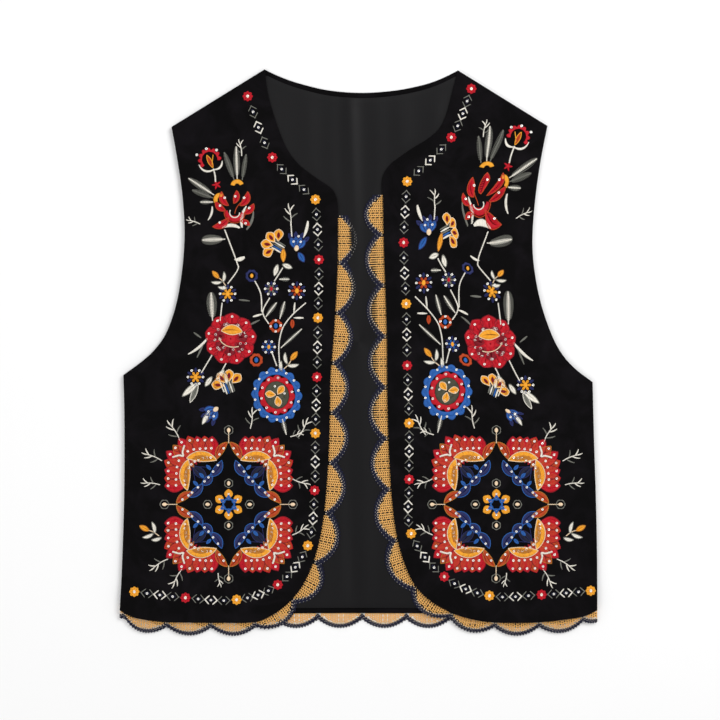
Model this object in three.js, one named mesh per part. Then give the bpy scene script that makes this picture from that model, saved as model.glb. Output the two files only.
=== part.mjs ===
// An open-fronted velvet vest laid flat, fronts up: a back, its satin lining, two fronts that lie on it,
// and a scalloped lace ribbon sewn under the front edges, the hems and the back's hem.
// Millimetres. X runs across the vest, Y from the hem to the neck, Z up off the table.
import * as THREE from "three";

// Cloths and how they lie on each other.
const VELVET_THICK = 1.5;
const SATIN_THICK = 1.0;
const LACE_THICK = 1.0;
const LAYER_GAP = 0.3;
const LINING_REST = VELVET_THICK + LAYER_GAP;
const FRONT_REST = LINING_REST + SATIN_THICK + LAYER_GAP;
const LACE_STEP = LACE_THICK + LAYER_GAP;
const SEAM_RISE = FRONT_REST - LAYER_GAP - VELVET_THICK;

// Lace ribbon: how much of it is tucked under an edge, and how far its scallops reach past that edge.
const LACE_TUCK = 5;
const LACE_MIDDLE = 0.45;
const LIFT_HOLD = 12;
const LIFT_END = 34;
const SCALLOP_STEPS = 8;
const LEAST_STATION_GAP = 1;
const EDGE_POINTS = 120;
const HEM_POINTS = 60;
const SEWN_POINTS = 200;
const EDGE_LACE = { cusp: 9, reach: 19.5 };
const HEM_LACE = { cusp: 5, reach: 13 };
const HEM_TURN = { start: 0.58, end: 0.76 };
const BACK_LACE = { cusp: 6, reach: 14.5 };
const BACK_SCALLOPS = { count: 12, pitch: 44.2, cutOff: 23.5 };
const SQUARE_END_START = 195;
const SQUARE_END = 234;
const LACE_DROP_START = -262;
const LACE_DROP_END = -278;

// Shoulder tips, neck points and the low corner of each side, with the curves between them.
// Each row of a curve is x, y.
const LEFT = {
  hemCorner: [-238, -257],
  backCorner: [-237.5, -251],
  side: [[-236, -215], [-233.8, -145], [-233.5, -70], [-234.5, -22.5]],
  armhole: [
    [-234.5, -22.5], [-218, -10.5], [-204, 2], [-191.5, 20], [-181.5, 49.5], [-175.5, 86],
    [-173.5, 122], [-176, 160], [-181, 194], [-186.5, 225],
  ],
  neckPoint: [-93.5, 282.5],
  hem: [
    [-238, -257], [-225, -264], [-206, -267.5], [-187, -269], [-143, -269.5], [-105, -269],
    [-87, -262.5], [-71, -251],
  ],
  edge: [
    [-71, -251], [-58, -236], [-48, -217], [-40.5, -194], [-35, -166], [-31.5, -130], [-29.5, -95],
    [-28.5, -60], [-28, -25], [-25.5, 5], [-22.8, 45], [-20.6, 92], [-20.5, 145],
  ],
  neckCorner: [[-20.5, 145], [-22, 154.5], [-26, 162.5], [-33, 168]],
  neckline: [
    [-33, 168], [-47, 177.5], [-60, 188], [-71, 202.5], [-79, 221], [-86, 242], [-91, 262],
    [-93.5, 282.5],
  ],
  laceTop: 139.5,
  scallops: [{ count: 1, pitch: 47 }, { count: 6, pitch: 50 }, { count: 6, pitch: 44 }],
};
const RIGHT = {
  hemCorner: [238, -257],
  backCorner: [237.5, -251],
  side: [[238, -205], [236.8, -145], [235, -88], [233.5, -29.5]],
  armhole: [
    [233.5, -29.5], [217.5, -17.5], [204, -3], [193, 17], [182, 49], [175.5, 82],
    [173.5, 112], [176, 150], [181.5, 190], [188.5, 226],
  ],
  neckPoint: [99, 281.5],
  hem: [
    [238, -257], [225, -263], [208, -266], [180, -269], [143, -269.5], [117.5, -267],
    [96, -261], [78, -252],
  ],
  edge: [
    [78, -252], [66, -243], [54.5, -229.5], [45, -208], [38.5, -184], [34.5, -158], [31.8, -125],
    [29.6, -80], [28.6, -35], [28.4, 10], [27, 58], [25.3, 105], [24.3, 160],
  ],
  neckCorner: [[24.3, 160], [24.2, 172], [27, 181.5], [33.5, 189.5]],
  neckline: [
    [33.5, 189.5], [52.5, 203], [69.5, 213.5], [81, 224], [88, 238.5], [93, 257], [96.5, 271],
    [99, 281.5],
  ],
  laceTop: 158.5,
  scallops: [{ count: 1, pitch: 39.5 }, { count: 7, pitch: 50.9 }, { count: 5, pitch: 44.3 }],
};
const BACK_NECK = [
  [-93.5, 282.5], [-77, 275], [-58, 268.5], [-30, 262], [2, 259.5], [34, 261.5], [61, 266.5],
  [80, 272.5], [99, 281.5],
];
const BACK_HEM = [
  [-237.5, -251], [-190, -258.5], [-100, -260.5], [0, -260.5], [100, -260.5], [190, -258.5],
  [237.5, -251],
];

// How finely each edge is divided. A ring is the narrow first step beside an edge, as a share of that edge.
const SIDE_STEPS = 9;
const ARMHOLE_STEPS = 14;
const EDGE_STEPS = 12;
const CORNER_STEPS = 3;
const NECKLINE_STEPS = 8;
const HEM_RING = 0.045;
const EDGE_RING = 0.025;
const SHOULDER_RING = 0.02;
const NECK_RING = 0.03;
const FRONT_COLUMNS = [0, 0.12, 0.28, 0.44, 0.6, 0.74, 0.86, 0.945, 1];
const SHOULDER_COLUMNS = [0, 0.05, 0.5, 1];
const BACK_NECK_STEPS = 6;
const LINING_TO_NECK = 0.75;

const COLOURS = {
  velvet: { color: 0x0b090b, roughness: 0.9, metalness: 0 },
  satin: { color: 0x232124, roughness: 0.55, metalness: 0 },
  lace: { color: 0xdfae62, roughness: 0.7, metalness: 0 },
};

/** A smooth curve through the rows of a table. */
function curveOf(rows) {
  return new THREE.SplineCurve(rows.map(([x, y]) => new THREE.Vector2(x, y)));
}

/** Even shares from 0 to 1, with an extra narrow step at the start or the end. */
function shares(steps, firstRing = 0, lastRing = 0) {
  const even = Array.from({ length: steps + 1 }, (_, i) => i / steps);
  if (firstRing) even.splice(1, 0, firstRing);
  if (lastRing) even.splice(even.length - 1, 0, 1 - lastRing);
  return even;
}

/** Points along several curves in turn, each with its own shares of length. */
function pointsAlong(...parts) {
  const points = [];
  for (const [curve, cuts] of parts) {
    for (const cut of points.length ? cuts.slice(1) : cuts) points.push(curve.getPointAt(cut));
  }
  return points;
}

/** Points outside to inside along the rows, hem to shoulder up the columns, between four edges. */
function patch(outer, inner, bottom, top, columns) {
  const last = outer.length - 1;
  return outer.map((start, j) => {
    const v = j / last;
    return columns.map((u, i) => {
      const across = start.clone().lerp(inner[j], u);
      const upwards = bottom[i].clone().lerp(top[i], v);
      const low = outer[0].clone().lerp(inner[0], u);
      const high = outer[last].clone().lerp(inner[last], u);
      return across.add(upwards).sub(low.lerp(high, v));
    });
  });
}

/** Grid points given a height off the table by a function of the point, its row and its column. */
function raise(grid, height) {
  return grid.map((row, j) => row.map((p, i) => new THREE.Vector3(p.x, p.y, height(p, j, i))));
}

/** A closed wall of cloth on a grid of its underside's points. */
function clothWall(under, thick) {
  const rows = under.length;
  const columns = under[0].length;
  const positions = [];
  for (const lift of [0, thick]) {
    for (const row of under) for (const p of row) positions.push(p.x, p.y, p.z + lift);
  }
  const low = (j, i) => j * columns + i;
  const high = (j, i) => rows * columns + low(j, i);
  const faces = [];
  const quad = (a, b, c, d) => faces.push(a, b, c, a, c, d);
  for (let j = 0; j + 1 < rows; j++) {
    for (let i = 0; i + 1 < columns; i++) {
      quad(high(j, i), high(j, i + 1), high(j + 1, i + 1), high(j + 1, i));
      quad(low(j, i), low(j + 1, i), low(j + 1, i + 1), low(j, i + 1));
    }
    quad(low(j, 0), high(j, 0), high(j + 1, 0), low(j + 1, 0));
    quad(low(j, columns - 1), low(j + 1, columns - 1), high(j + 1, columns - 1), high(j, columns - 1));
  }
  for (let i = 0; i + 1 < columns; i++) {
    quad(low(0, i), low(0, i + 1), high(0, i + 1), high(0, i));
    quad(low(rows - 1, i), high(rows - 1, i), high(rows - 1, i + 1), low(rows - 1, i + 1));
  }
  const geometry = new THREE.BufferGeometry();
  geometry.setAttribute("position", new THREE.Float32BufferAttribute(positions, 3));
  geometry.setIndex(isFacingUp(under) ? faces : faces.reverse());
  geometry.computeVertexNormals();
  return geometry;
}

/** True where a grid's columns run to the right as its rows run up. */
function isFacingUp(grid) {
  const along = grid[0][1].clone().sub(grid[0][0]);
  const up = grid[1][0].clone().sub(grid[0][0]);
  return along.x * up.y - along.y * up.x > 0;
}

/** The named mesh of one piece of cloth. */
function piece(name, geometry, look) {
  const mesh = new THREE.Mesh(geometry, new THREE.MeshStandardMaterial(look));
  mesh.name = name;
  return mesh;
}

/** The side seam and armhole of one side, from a corner at the hem to the shoulder tip. */
function outerPoints(side, corner) {
  return pointsAlong(
    [curveOf([corner, ...side.side]), shares(SIDE_STEPS, HEM_RING)],
    [curveOf(side.armhole), shares(ARMHOLE_STEPS, 0, SHOULDER_RING)],
  );
}

/** A side's front edge and neckline, from the middle of its round hem corner to the neck point. */
function innerPoints(side) {
  return pointsAlong(
    [curveOf(side.edge), shares(EDGE_STEPS, EDGE_RING)],
    [curveOf(side.neckCorner), shares(CORNER_STEPS)],
    [curveOf(side.neckline), shares(NECKLINE_STEPS, 0, SHOULDER_RING)],
  );
}

/** The sewn line of a front's lace, from its top end down the front edge and out along the hem. */
function lacePath(side) {
  const down = [...curveOf(side.edge).getSpacedPoints(EDGE_POINTS)].reverse();
  const sewn = down.filter((p) => p.y <= side.laceTop);
  const out = [...curveOf(side.hem).getSpacedPoints(HEM_POINTS)].reverse();
  return new THREE.SplineCurve([...sewn, ...out.slice(1)]);
}

/** Distance from a point to the nearest point of a list. */
function nearest(point, points) {
  return Math.min(...points.map((p) => p.distanceTo(point)));
}

/** Each scallop as its start and pitch along the ribbon, whose first scallop may be partly cut off. */
function scallopsOf(rows, cutOff = 0) {
  const scallops = [];
  let start = -cutOff;
  for (const { count, pitch } of rows) {
    for (let k = 0; k < count; k++) {
      scallops.push({ start, pitch });
      start += pitch;
    }
  }
  return scallops;
}

/** How far a scallop's edge reaches at a share of its pitch, between its cusp and its full reach. */
function scallopReach(share, { cusp, reach }) {
  return cusp + (reach - cusp) * (1 - (2 * share - 1) ** 2);
}

/** Height that a front's lace rests at: on the lining, then down towards the table past the back's hem. */
function laceRest(y) {
  const drop = THREE.MathUtils.clamp((LACE_DROP_START - y) / (LACE_DROP_START - LACE_DROP_END), 0, 1);
  return THREE.MathUtils.lerp(FRONT_REST, LACE_STEP, drop);
}

/** A ribbon's underside at each step along it: its tucked edge, a middle line and its scalloped edge. */
function ribbonGrid(path, scallops, bandAt, outward, tuck, rest) {
  const total = path.getLength();
  const stations = new Set([0, total]);
  for (const { start, pitch } of scallops) {
    for (let k = 0; k <= SCALLOP_STEPS; k++) {
      const at = start + (pitch * k) / SCALLOP_STEPS;
      if (at > LEAST_STATION_GAP && at < total - LEAST_STATION_GAP) stations.add(Number(at.toFixed(3)));
    }
  }
  return [...stations].sort((a, b) => a - b).map((at) => {
    const { start, pitch } = scallops.findLast((s) => s.start <= at);
    const band = bandAt(at / total);
    const reach = scallopReach((at - start) / pitch, band);
    const seam = path.getPointAt(at / total);
    const tangent = path.getTangentAt(at / total);
    const side = new THREE.Vector2(tangent.y, -tangent.x).multiplyScalar(outward);
    side.x *= 1 - THREE.MathUtils.smoothstep(Math.abs(seam.x), SQUARE_END_START, SQUARE_END);
    side.normalize();
    return [-tuck, reach * LACE_MIDDLE, reach].map((offset) => {
      const p = seam.clone().addScaledVector(side, offset);
      return new THREE.Vector3(p.x, p.y, rest(p.y));
    });
  });
}

/** One front: its panel and the lace under its front edge and hem. */
function front(word, side, outward) {
  const path = lacePath(side);
  const sewn = path.getSpacedPoints(SEWN_POINTS);
  const tip = new THREE.Vector2(...side.armhole.at(-1));
  const top = new THREE.LineCurve(tip, new THREE.Vector2(...side.neckPoint));
  const grid = patch(
    outerPoints(side, side.hemCorner),
    innerPoints(side),
    pointsAlong([curveOf(side.hem), FRONT_COLUMNS]),
    pointsAlong([top, FRONT_COLUMNS]),
    FRONT_COLUMNS,
  );
  const overLace = (p) => {
    const away = THREE.MathUtils.smoothstep(nearest(p, sewn), LIFT_HOLD, LIFT_END);
    return FRONT_REST + LACE_STEP * (1 - away);
  };
  const bandAt = (share) => {
    const turn = THREE.MathUtils.smoothstep(share, HEM_TURN.start, HEM_TURN.end);
    return {
      cusp: THREE.MathUtils.lerp(EDGE_LACE.cusp, HEM_LACE.cusp, turn),
      reach: THREE.MathUtils.lerp(EDGE_LACE.reach, HEM_LACE.reach, turn),
    };
  };
  const ribbon = ribbonGrid(path, scallopsOf(side.scallops), bandAt, outward, LACE_TUCK, laceRest);
  return [
    piece("front_" + word, clothWall(raise(grid, overLace), VELVET_THICK), COLOURS.velvet),
    piece("lace_front_" + word, clothWall(ribbon, LACE_THICK), COLOURS.lace),
  ];
}

/** The back and the lining on it, which leaves the raised seam margins free. */
function backPieces() {
  const left = outerPoints(LEFT, LEFT.backCorner);
  const right = outerPoints(RIGHT, RIGHT.backCorner);
  const rows = left.length;
  const leftShoulder = new THREE.LineCurve(left[rows - 1], new THREE.Vector2(...LEFT.neckPoint));
  const rightShoulder = new THREE.LineCurve(new THREE.Vector2(...RIGHT.neckPoint), right[rows - 1]);
  const mirrored = SHOULDER_COLUMNS.map((s) => 1 - s).reverse();
  const top = pointsAlong(
    [leftShoulder, SHOULDER_COLUMNS],
    [curveOf(BACK_NECK), shares(BACK_NECK_STEPS, NECK_RING, NECK_RING)],
    [rightShoulder, mirrored],
  );
  const columns = shares(top.length - 3, SHOULDER_RING, SHOULDER_RING);
  const grid = patch(left, right, pointsAlong([curveOf(BACK_HEM), columns]), top, columns);
  const edge = SHOULDER_COLUMNS.length - 1;
  const lastRow = rows - 1;
  const lastColumn = columns.length - 1;
  const isNeck = (i) => i > edge && i < lastColumn - edge;
  const back = raise(grid, (p, j, i) => {
    const onSeam = i === 0 || i === lastColumn || (j === lastRow && !isNeck(i));
    return onSeam ? SEAM_RISE : 0;
  });
  const inside = grid.slice(0, lastRow).map((row) => row.slice(1, lastColumn));
  const reachesNeck = (i) => i > edge + 1 && i < lastColumn - edge - 1;
  inside[lastRow - 1] = grid[lastRow - 1].map((p, i) => (
    reachesNeck(i) ? p.clone().lerp(grid[lastRow][i], LINING_TO_NECK) : p
  )).slice(1, lastColumn);
  return [
    piece("back", clothWall(back, VELVET_THICK), COLOURS.velvet),
    piece("back_lining", clothWall(raise(inside, () => LINING_REST), SATIN_THICK), COLOURS.satin),
  ];
}

/** The lace sewn to the back's hem, lying on the table. */
function backLace() {
  const hem = curveOf(BACK_HEM);
  const scallops = scallopsOf([BACK_SCALLOPS], BACK_SCALLOPS.cutOff);
  const grid = ribbonGrid(hem, scallops, () => BACK_LACE, 1, -LAYER_GAP, () => 0);
  return piece("lace_back", clothWall(grid, LACE_THICK), COLOURS.lace);
}

const vest = new THREE.Group();
vest.add(...backPieces(), backLace(), ...front("left", LEFT, -1), ...front("right", RIGHT, 1));

export default vest;
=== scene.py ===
"""An open-fronted folk vest laid flat: velvet, satin lining, crochet lace, bright embroidery, sequins."""

import logging
import math
from collections.abc import Callable, Sequence
from dataclasses import dataclass, field
from enum import Enum

import bpy
import numpy as np
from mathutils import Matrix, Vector

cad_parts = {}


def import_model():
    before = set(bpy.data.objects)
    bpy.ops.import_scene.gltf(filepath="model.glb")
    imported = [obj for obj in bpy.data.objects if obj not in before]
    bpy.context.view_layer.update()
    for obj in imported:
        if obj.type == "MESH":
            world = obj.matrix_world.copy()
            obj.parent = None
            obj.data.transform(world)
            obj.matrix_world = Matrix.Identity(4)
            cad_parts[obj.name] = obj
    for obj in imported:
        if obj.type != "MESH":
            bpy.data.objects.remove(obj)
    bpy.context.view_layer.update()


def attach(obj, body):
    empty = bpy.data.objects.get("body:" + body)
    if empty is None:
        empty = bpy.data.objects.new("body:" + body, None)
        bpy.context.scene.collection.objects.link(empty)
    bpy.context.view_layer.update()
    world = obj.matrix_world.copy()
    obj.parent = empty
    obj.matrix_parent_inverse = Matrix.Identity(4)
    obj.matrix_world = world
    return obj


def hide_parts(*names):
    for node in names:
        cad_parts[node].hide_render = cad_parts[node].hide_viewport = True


log = logging.getLogger("folk_vest")

# Sizes are in millimetres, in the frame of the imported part: X across, Y to the neck, Z up. Only the flat
# sizes and areas of the cloths and the studio's sizes are in metres.
MM = 0.001
SEED = 1907
VELVET_THICK = 1.5
SATIN_THICK = 1.0
# Heights of the undersides of the lining and the fronts, and how far the fronts rise over the lace.
LINING_REST = 1.8
FRONT_REST = 3.1
LACE_STEP = 1.3
# How far the fronts keep that rise from the lace's sewn line, and where it has run out.
LIFT_HOLD, LIFT_END = 12.0, 34.0
SEAM_RISE = 1.3
LACE_TUCK = 5.0
# Past the back's hem the front lace comes lower over this run. Then how far the laces clear what they lie on.
BACK_END_Y = -262
LACE_DROP = 16
LACE_CLEAR, BACK_LACE_CLEAR = 0.25, 0.2
# The middle line that the left front's design is mirrored about.
MIRROR_X = 4.0

Rows = Sequence[tuple[float, ...]]
# A modelled shape's points and faces.
Shape = tuple[np.ndarray, list[tuple[int, ...]]]


# ---------------------------------------------------------------- small tools


def linear(colour: str) -> tuple[float, float, float, float]:
    """Turn an sRGB hex colour into the linear one that Blender's sockets take.

    Args:
        colour: Six hex digits, as "DFAE62".

    Returns:
        Red, green, blue and an alpha of 1.
    """
    parts = [int(colour[i:i + 2], 16) / 255 for i in (0, 2, 4)]
    bright = [c / 12.92 if c <= 0.04045 else ((c + 0.055) / 1.055) ** 2.4 for c in parts]
    return (*bright, 1.0)


def add_node(tree: bpy.types.NodeTree, kind: str, inputs: dict | None = None, **settings) -> bpy.types.Node:
    """Add a node with its settings, its values and the links into it.

    Args:
        tree: The material's node tree.
        kind: The node's class name.
        inputs: For each input, by name or number, a value or the socket that feeds it.
        **settings: Attributes of the node itself.

    Returns:
        The new node.
    """
    made = tree.nodes.new(kind)
    for name, value in settings.items():
        setattr(made, name, value)
    for name, value in (inputs or {}).items():
        if isinstance(value, bpy.types.NodeSocket):
            tree.links.new(value, made.inputs[name])
        else:
            made.inputs[name].default_value = value
    return made


def smoothstep(values: np.ndarray, low: float, high: float) -> np.ndarray:
    """Ease values from 0 at low to 1 at high."""
    t = np.clip((np.asarray(values, float) - low) / (high - low), 0, 1)
    return t * t * (3 - 2 * t)


def unit(vectors: np.ndarray) -> np.ndarray:
    """Give each row a length of one."""
    return vectors / np.maximum(np.linalg.norm(vectors, axis=-1, keepdims=True), 1e-9)


def turned(vectors: np.ndarray) -> np.ndarray:
    """Turn each 2-D row a quarter turn to the left."""
    return np.stack([-vectors[..., 1], vectors[..., 0]], axis=-1)


def near(points: np.ndarray, others: np.ndarray) -> np.ndarray:
    """Distance from each point to the nearest of some others, all in 2-D."""
    flat = points.reshape(-1, 2)
    away = np.full(len(flat), np.inf)
    for other in others:
        away = np.minimum(away, np.hypot(*(flat - other).T))
    return away.reshape(points.shape[:-1])


class Line:
    """A line through the rows of a table, measured along its length."""

    SUBSTEPS = 14
    HEADING_SPAN = 0.002

    def __init__(self, rows: Rows | np.ndarray, smooth: bool = True) -> None:
        """Take the rows as corners, or as the places that one smooth curve passes."""
        points = np.asarray(rows, float)
        if smooth and len(points) > 2:
            points = self._smoothed(points)
        steps = np.hypot(*np.diff(points, axis=0).T)
        self.points = points
        self.stations = np.concatenate(([0.0], np.cumsum(steps)))
        self.length = float(self.stations[-1])

    def _smoothed(self, points: np.ndarray) -> np.ndarray:
        """Fill a Catmull-Rom curve in between the points."""
        ends = np.vstack([points[:1], points, points[-1:]])
        t = np.linspace(0, 1, self.SUBSTEPS, endpoint=False)[:, None]
        found = []
        for p0, p1, p2, p3 in zip(ends, ends[1:], ends[2:], ends[3:]):
            v0, v1 = (p2 - p0) / 2, (p3 - p1) / 2
            cubed, squared = 2 * p1 - 2 * p2 + v0 + v1, 3 * p2 - 3 * p1 - 2 * v0 - v1
            found.append(cubed * t**3 + squared * t**2 + v0 * t + p1)
        return np.vstack([*found, points[-1:]])

    def at(self, share: np.ndarray | float) -> np.ndarray:
        """Points at shares of the length."""
        along = np.atleast_1d(share) * self.length
        return np.column_stack([np.interp(along, self.stations, self.points[:, k]) for k in (0, 1)])

    def heading(self, share: np.ndarray | float) -> np.ndarray:
        """Unit directions of travel at shares of the length."""
        share = np.atleast_1d(share)
        ahead, behind = share + self.HEADING_SPAN, share - self.HEADING_SPAN
        return unit(self.at(np.clip(ahead, 0, 1)) - self.at(np.clip(behind, 0, 1)))


def arc(x: float, y: float, wide: float, tall: float, start: float, end: float,
        count: int = 24) -> np.ndarray:
    """Points of an arc about a centre, from one angle to another in degrees."""
    angles = np.radians(np.linspace(start, end, count))
    return np.column_stack([x + wide * np.cos(angles), y + tall * np.sin(angles)])


def select_only(made: bpy.types.Object) -> None:
    """Leave one object selected and active, because an operator acts on all that is selected."""
    bpy.ops.object.select_all(action="DESELECT")
    made.select_set(True)
    bpy.context.view_layer.objects.active = made


def finish_mesh(made: bpy.types.Object, *modifiers: tuple[str, dict]) -> bpy.types.Object:
    """Add each modifier with its settings and apply it.

    Args:
        made: The object to finish.
        *modifiers: Pairs of a modifier's type and its settings.

    Returns:
        The same object.
    """
    select_only(made)
    for kind, settings in modifiers:
        modifier = made.modifiers.new(kind.title(), kind)
        for name, value in settings.items():
            setattr(modifier, name, value)
        bpy.ops.object.modifier_apply(modifier=modifier.name)
    return made


def declare(made: bpy.types.Object, node: str, material: bpy.types.Material) -> bpy.types.Object:
    """Dress a finished piece, hang it on the root body, and hide the imported part that it stands for, if one
    is named.
    """
    made.data.materials.clear()
    made.data.materials.append(material)
    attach(made, "root")
    if node:
        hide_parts(node)
    log.info("%s: %d vertices", made.name, len(made.data.vertices))
    return made


# ---------------------------------------------------------------- finishes


class Thread(Enum):
    """Embroidery and lace threads by their dyed colour."""

    RED = "C00E22"
    CRIMSON = "7E0A1C"
    ORANGE = "B9441A"
    GOLD = "F0A62C"
    OCHRE = "B8762A"
    NAVY = "252B5E"
    INK = "171A33"
    BLUE = "2A62AE"
    WHITE = "EDE8DC"
    CREAM = "F0D6B4"
    GREY = "76766E"
    MOSS = "4A4B3C"
    LACE_GOLD = "F6BE6E"
    LACE_NAVY = "14162E"
    LACE_DOT = "A6A29E"


@dataclass(frozen=True)
class Velvet:
    """Cotton-backed polyester velvet, cut pile: it drinks light, and its black is paler in broad patches of
    painted sheen.
    """

    deep: str = "040304"
    # The second black is painted sheen, laid in soft patches of the size given last.
    painted_sheen: str = "100D11"
    pile_mm: float = 0.55
    sheen_patch_mm: float = 34.0

    def material(self) -> bpy.types.Material:
        """Make the cloth's material from its black, paler patches of painted sheen and fine pile."""
        made = bpy.data.materials.new("black_cut_pile_velvet")
        made.use_nodes = True
        tree = made.node_tree
        shader = tree.nodes["Principled BSDF"]
        place = add_node(tree, "ShaderNodeTexCoord").outputs["Object"]
        sheen_noise = add_node(tree, "ShaderNodeTexNoise", {
            "Vector": place, "Scale": 1 / (self.sheen_patch_mm * MM),
            "Detail": 4.0, "Roughness": 0.6, "Distortion": 0.8,
        })
        # Painted sheen: broad, soft-edged patches where the black is paler, standing in for light that the
        # nap catches.
        painted_sheen_patches = add_node(tree, "ShaderNodeMapRange", {
            "Value": sheen_noise.outputs["Fac"], "From Min": 0.42, "From Max": 0.75, "To Min": 0.0, "To Max": 1.0,
        })
        colour = add_node(tree, "ShaderNodeMix", {
            0: painted_sheen_patches.outputs["Result"], 6: linear(self.deep), 7: linear(self.painted_sheen),
        }, data_type="RGBA")
        tree.links.new(colour.outputs[2], shader.inputs["Base Color"])
        pile = add_node(tree, "ShaderNodeTexNoise", {
            "Vector": place, "Scale": 1 / (self.pile_mm * MM), "Detail": 2.0,
        })
        # The pile is drawn as coarse as half a millimetre, several times its real tufts, so that it shows.
        raised = add_node(tree, "ShaderNodeBump", {
            "Height": pile.outputs["Fac"], "Strength": 0.35, "Distance": 0.3 * MM,
        })
        tree.links.new(raised.outputs["Normal"], shader.inputs["Normal"])
        shader.inputs["Roughness"].default_value = 0.95
        shader.inputs["Specular IOR Level"].default_value = 0.12
        shader.inputs["Sheen Weight"].default_value = 0.05
        shader.inputs["Sheen Roughness"].default_value = 0.35
        shader.inputs["Sheen Tint"].default_value = linear("B8A8C0")
        return made


@dataclass(frozen=True)
class LiningSatin:
    """Woven acetate lining, calendered: charcoal, smooth, with a long soft highlight across its folds."""

    colour: str = "0F0E10"
    shade: str = "0A090B"
    thread_mm: float = 0.7

    def material(self) -> bpy.types.Material:
        """Make the lining's material with a fine rib along the warp."""
        made = bpy.data.materials.new("charcoal_acetate_lining")
        made.use_nodes = True
        tree = made.node_tree
        shader = tree.nodes["Principled BSDF"]
        place = add_node(tree, "ShaderNodeTexCoord").outputs["Object"]
        drift = add_node(tree, "ShaderNodeTexNoise", {"Vector": place, "Scale": 11.0, "Detail": 2.0})
        colour = add_node(tree, "ShaderNodeMix", {
            0: drift.outputs["Fac"], 6: linear(self.shade), 7: linear(self.colour),
        }, data_type="RGBA")
        tree.links.new(colour.outputs[2], shader.inputs["Base Color"])
        # Warp threads are 0.1 mm apart; the rib is drawn at 0.7 mm so that the weave shows.
        warp = add_node(tree, "ShaderNodeTexWave", {
            "Vector": place, "Scale": 1 / (self.thread_mm * MM * 2 * math.pi), "Distortion": 0.6,
        }, bands_direction="X")
        raised = add_node(tree, "ShaderNodeBump", {
            "Height": warp.outputs["Fac"], "Strength": 0.12, "Distance": 0.15 * MM,
        })
        tree.links.new(raised.outputs["Normal"], shader.inputs["Normal"])
        shader.inputs["Roughness"].default_value = 0.46
        shader.inputs["Specular IOR Level"].default_value = 0.16
        shader.inputs["Anisotropic"].default_value = 0.4
        return made


@dataclass(frozen=True)
class SpunThread:
    """Twisted thread whose colour is its dye, held on each stitch: bright rayon, or duller lace cotton."""

    name: str
    roughness: float
    sheen: float
    ply_mm: float = 0.5

    def material(self) -> bpy.types.Material:
        """Make the thread's material from the dye of each stitch and a fine ply bump."""
        made = bpy.data.materials.new(self.name)
        made.use_nodes = True
        tree = made.node_tree
        shader = tree.nodes["Principled BSDF"]
        dye = add_node(tree, "ShaderNodeAttribute", attribute_name="dye")
        tree.links.new(dye.outputs["Color"], shader.inputs["Base Color"])
        place = add_node(tree, "ShaderNodeTexCoord").outputs["Object"]
        # The plies are drawn half a millimetre apart, coarser than spun, so that each stitch looks twisted.
        ply = add_node(tree, "ShaderNodeTexNoise", {
            "Vector": place, "Scale": 1 / (self.ply_mm * MM), "Detail": 1.0,
        })
        raised = add_node(tree, "ShaderNodeBump", {
            "Height": ply.outputs["Fac"], "Strength": 0.4, "Distance": 0.12 * MM,
        })
        tree.links.new(raised.outputs["Normal"], shader.inputs["Normal"])
        shader.inputs["Roughness"].default_value = self.roughness
        shader.inputs["Specular IOR Level"].default_value = 0.25
        shader.inputs["Sheen Weight"].default_value = self.sheen
        return made


@dataclass(frozen=True)
class SequinFilm:
    """Punched and cupped PET film, silvered clear: small bright dishes, their silver given as a pale diffuse
    colour that is partly its own tint and partly a painted reflection.
    """

    # Partly the silver's own tint, partly a painted reflection of the bright room.
    colour: str = "F4F1EA"

    def material(self) -> bpy.types.Material:
        """Make the film's material, bright in its colour, which is partly a painted reflection, and sharp in
        its gloss.
        """
        made = bpy.data.materials.new("silvered_pet_sequin")
        made.use_nodes = True
        tree = made.node_tree
        shader = tree.nodes["Principled BSDF"]
        place = add_node(tree, "ShaderNodeTexCoord").outputs["Object"]
        flash = add_node(tree, "ShaderNodeTexNoise", {"Vector": place, "Scale": 260.0})
        rough = add_node(tree, "ShaderNodeMapRange", {
            "Value": flash.outputs["Fac"], "To Min": 0.12, "To Max": 0.3,
        })
        tree.links.new(rough.outputs["Result"], shader.inputs["Roughness"])
        # Painted reflection: the silver's brightness is given mostly as a pale diffuse colour at low
        # metallic, partly the film's own tint.
        shader.inputs["Base Color"].default_value = linear(self.colour)
        shader.inputs["Metallic"].default_value = 0.35
        shader.inputs["Coat Weight"].default_value = 0.5
        return made


# ---------------------------------------------------------------- how the pieces lie


@dataclass(frozen=True)
class Crease:
    """One soft ridge of cloth from one place to another."""

    x0: float
    y0: float
    x1: float
    y1: float
    wide: float
    high: float

    def rise(self, points: np.ndarray) -> np.ndarray:
        """Height that the crease adds at each point."""
        start, run = np.array([self.x0, self.y0]), np.array([self.x1 - self.x0, self.y1 - self.y0])
        along = ((points - start) @ run) / (run @ run)
        across = ((points - start) @ turned(run)) / math.hypot(*run)
        taper = smoothstep(along, -0.25, 0.3) * (1 - smoothstep(along, 0.6, 1.25))
        return self.high * taper * np.exp(-((across / self.wide) ** 2))


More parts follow.
